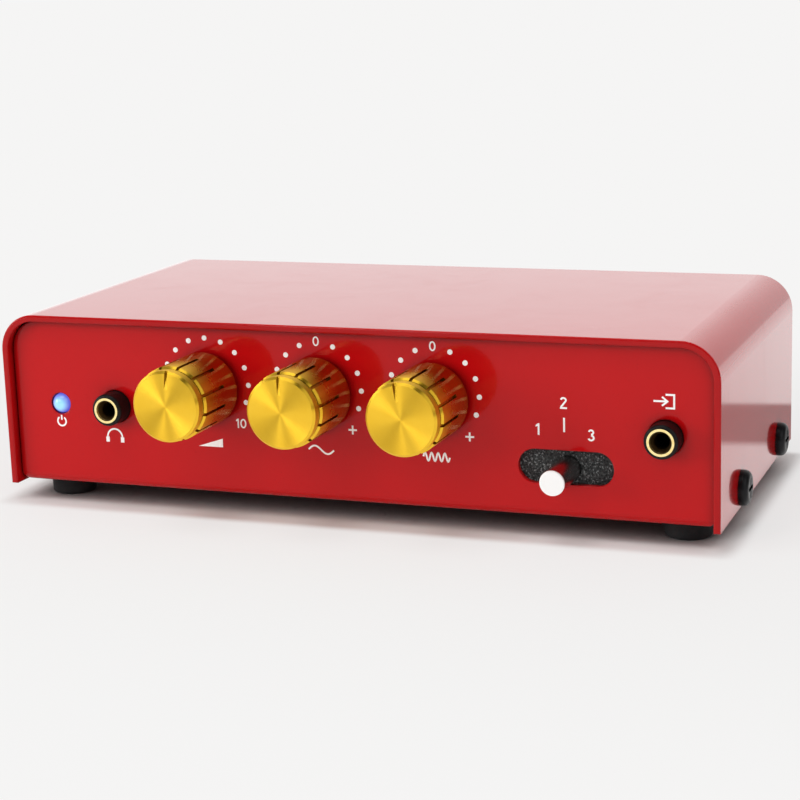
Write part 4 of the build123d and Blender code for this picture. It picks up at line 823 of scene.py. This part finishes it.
def foam_strip(look):
    """Open-cell foam, cut to a strip, its skin pitted by the cells."""
    foam = foam_block()
    remesh = foam.modifiers.new("cells", "REMESH")
    remesh.mode = "VOXEL"
    remesh.voxel_size = FOAM_VOXEL * MM
    bpy.context.view_layer.update()
    evaluated = foam.evaluated_get(bpy.context.evaluated_depsgraph_get())
    fine = bpy.data.meshes.new_from_object(evaluated)
    foam.modifiers.clear()
    foam.data = fine
    normals = [v.normal.copy() for v in fine.vertices]
    for vertex, normal in zip(fine.vertices, normals):
        cell = noise.voronoi(vertex.co * FOAM_CELLS_PER_M)[0]
        strut = noise.noise(vertex.co * FOAM_STRUTS_PER_M)
        lift = 0.5 - min(1.0, cell[0] * FOAM_CELL_SLOPE) + FOAM_STRUT_SHARE * strut
        lift = max(FOAM_DEEPEST, min(FOAM_HIGHEST, lift))
        vertex.co += normal * lift * FOAM_RELIEF * FOAM_EDGE * MM
    for polygon in fine.polygons:
        polygon.use_smooth = True
    fine.materials.clear()
    fine.materials.append(look)
    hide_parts("dust_strip")
    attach(foam, "selector")


# ---------------------------------------------------------------- stage, light, camera

def floor():
    """A large pale sweep: lit cloth near the object with a painted shadow under and beside the
    case, even backdrop far from it.
    """
    bpy.ops.mesh.primitive_circle_add(vertices=FLOOR_CORNERS, radius=FLOOR_RADIUS,
                                      fill_type="NGON", location=(0, 0, 0))
    sweep = bpy.context.object
    sweep.name = "floor"
    f = Finish("floor_finish", roughness=0.75)
    f.put("Specular IOR Level", 0.2)
    shade = tuple(c * FLOOR_SHADE for c in FLOOR_COLOUR)
    cloth = f.mix(f.grain(0.05, detail=5.0), FLOOR_COLOUR, shade)
    # Painted shadow: ambient occlusion darkens the cloth under the case and along its foot.
    f.put("Base Color", f.scaled(cloth, f.painted_hollow_shade(*FLOOR_PAINTED_SHADOW)))
    f.bump(f.grain(0.002, detail=3.0), 0.0001, 0.15)

    x, y, _ = f.axes()
    beside = f.maths("SUBTRACT", f.maths("ABSOLUTE", x), CASE_WIDTH / 2 * MM)
    beside = f.maths("MAXIMUM", beside, 0.0)
    beyond = f.maths("ABSOLUTE", f.maths("SUBTRACT", y, CASE_MIDDLE_Y * MM))
    beyond = f.maths("MAXIMUM", f.maths("SUBTRACT", beyond, CASE_DEPTH / 2 * MM), 0.0)
    away = f.length(beside, beyond)
    near = f.span(away, 0.0, FLOOR_NEAR, 0.0, FLOOR_NEAR_GLOW, smooth=True)
    far = f.span(away, *FLOOR_FAR, 0.0, 1.0 - FLOOR_NEAR_GLOW, smooth=True)
    share = f.maths("ADD", near, far)

    path = f.add("ShaderNodeLightPath").outputs
    mirrored = f.maths("MAXIMUM", path["Is Glossy Ray"], path["Is Transmission Ray"])
    seen = f.maths("MAXIMUM", path["Is Camera Ray"], mirrored)
    reach = f.maths("ADD", f.maths("MULTIPLY", x, HEM_SKEW), y)
    hem = f.maths("SUBTRACT", f.span(reach, *HEM_START), f.span(reach, *HEM_END))
    hem = f.maths("MULTIPLY", hem, f.maths("MULTIPLY", mirrored, HEM_DEPTH))
    strength = f.span(mirrored, 0.0, 1.0, BACKDROP, BACKDROP_MIRRORED)
    glow = f.add("ShaderNodeEmission")
    glow.inputs["Color"].default_value = (*FLOOR_GLOW_COLOUR, 1.0)
    f.join(f.maths("SUBTRACT", strength, hem), glow.inputs["Strength"])
    blend = f.add("ShaderNodeMixShader")
    f.join(f.maths("MULTIPLY", share, seen), blend.inputs[0])
    f.join(f.shader.outputs[0], blend.inputs[1])
    f.join(glow.outputs[0], blend.inputs[2])
    f.join(blend.outputs[0], f.output.inputs["Surface"])
    sweep.data.materials.append(f.material)


def sky():
    """White for the camera; for reflections bright behind the object and dim in front of it."""
    world = bpy.data.worlds.new("studio")
    bpy.context.scene.world = world
    world.use_nodes = True
    nodes, links = world.node_tree.nodes, world.node_tree.links
    nodes.clear()
    output = nodes.new("ShaderNodeOutputWorld")
    background = nodes.new("ShaderNodeBackground")
    links.new(background.outputs[0], output.inputs[0])
    path = nodes.new("ShaderNodeLightPath")
    coords = nodes.new("ShaderNodeTexCoord")

    def towards(direction, low, high, dim, bright):
        """Light that grows from dim to bright as a ray turns towards the direction."""
        facing = nodes.new("ShaderNodeVectorMath")
        facing.operation = "DOT_PRODUCT"
        links.new(coords.outputs["Generated"], facing.inputs[0])
        facing.inputs[1].default_value = Vector(direction).normalized()
        grow = nodes.new("ShaderNodeMapRange")
        grow.interpolation_type = "SMOOTHSTEP"
        links.new(facing.outputs["Value"], grow.inputs["Value"])
        ends = (("From Min", low), ("From Max", high), ("To Min", dim), ("To Max", bright))
        for socket, value in ends:
            grow.inputs[socket].default_value = value
        return grow.outputs["Result"]

    def choose(factor, a, b):
        node = nodes.new("ShaderNodeMix")
        links.new(factor, node.inputs["Factor"])
        for socket, value in ((node.inputs["A"], a), (node.inputs["B"], b)):
            if isinstance(value, bpy.types.NodeSocket):
                links.new(value, socket)
            else:
                socket.default_value = value
        return node.outputs[0]

    mirrored = towards(SKY_BRIGHT_SIDE, *SKY_RANGE, SKY_DIM, SKY_BRIGHT)
    ambient = towards(AMBIENT_SIDE, *AMBIENT_RANGE, AMBIENT_DIM, AMBIENT_BRIGHT)
    strength = choose(path.outputs["Is Diffuse Ray"], mirrored, ambient)
    strength = choose(path.outputs["Is Camera Ray"], strength, BACKDROP)
    background.inputs["Color"].default_value = (1.0, 1.0, 1.0, 1.0)
    links.new(strength, background.inputs["Strength"])


def softbox(name, place, target, size, radiance):
    """An area lamp of that radiance, aimed at target, that the camera doesn't see."""
    lamp = bpy.data.lights.new(name, "AREA")
    lamp.shape = "RECTANGLE"
    lamp.size, lamp.size_y = size
    lamp.energy = radiance * math.pi * size[0] * size[1]
    obj = add_object(name, lamp)
    obj.location = place
    obj.rotation_euler = (Vector(target) - Vector(place)).to_track_quat("-Z", "Y").to_euler()
    obj.visible_camera = False


def camera():
    angles = (CAMERA_AZIMUTH, CAMERA_ELEVATION, CAMERA_ROLL)
    az, el, roll = (math.radians(a) for a in angles)
    back = Vector((math.sin(az) * math.cos(el), -math.cos(az) * math.cos(el), math.sin(el)))
    side = (-back).cross(Vector((0, 0, 1))).normalized()
    top = side.cross(-back)
    right = math.cos(roll) * side + math.sin(roll) * top
    up = -math.sin(roll) * side + math.cos(roll) * top
    data = bpy.data.cameras.new("camera")
    data.sensor_width = CAMERA_SENSOR
    data.lens = CAMERA_LENS
    data.clip_start = CAMERA_NEAR
    obj = add_object("camera", data)
    turn = Matrix((right, up, back)).transposed().to_4x4()
    obj.matrix_world = Matrix.Translation(CAMERA_PLACE) @ turn
    bpy.context.scene.camera = obj


bpy.context.scene.view_settings.view_transform = "Standard"
looks = finishes()
dress_nodes(looks)
foam_strip(looks["dust_foam"])
print_panel()
floor()
sky()
for lamp_name, lamp_settings in LAMPS.items():
    softbox(lamp_name, *lamp_settings)
camera()

bpy.context.view_layer.update()
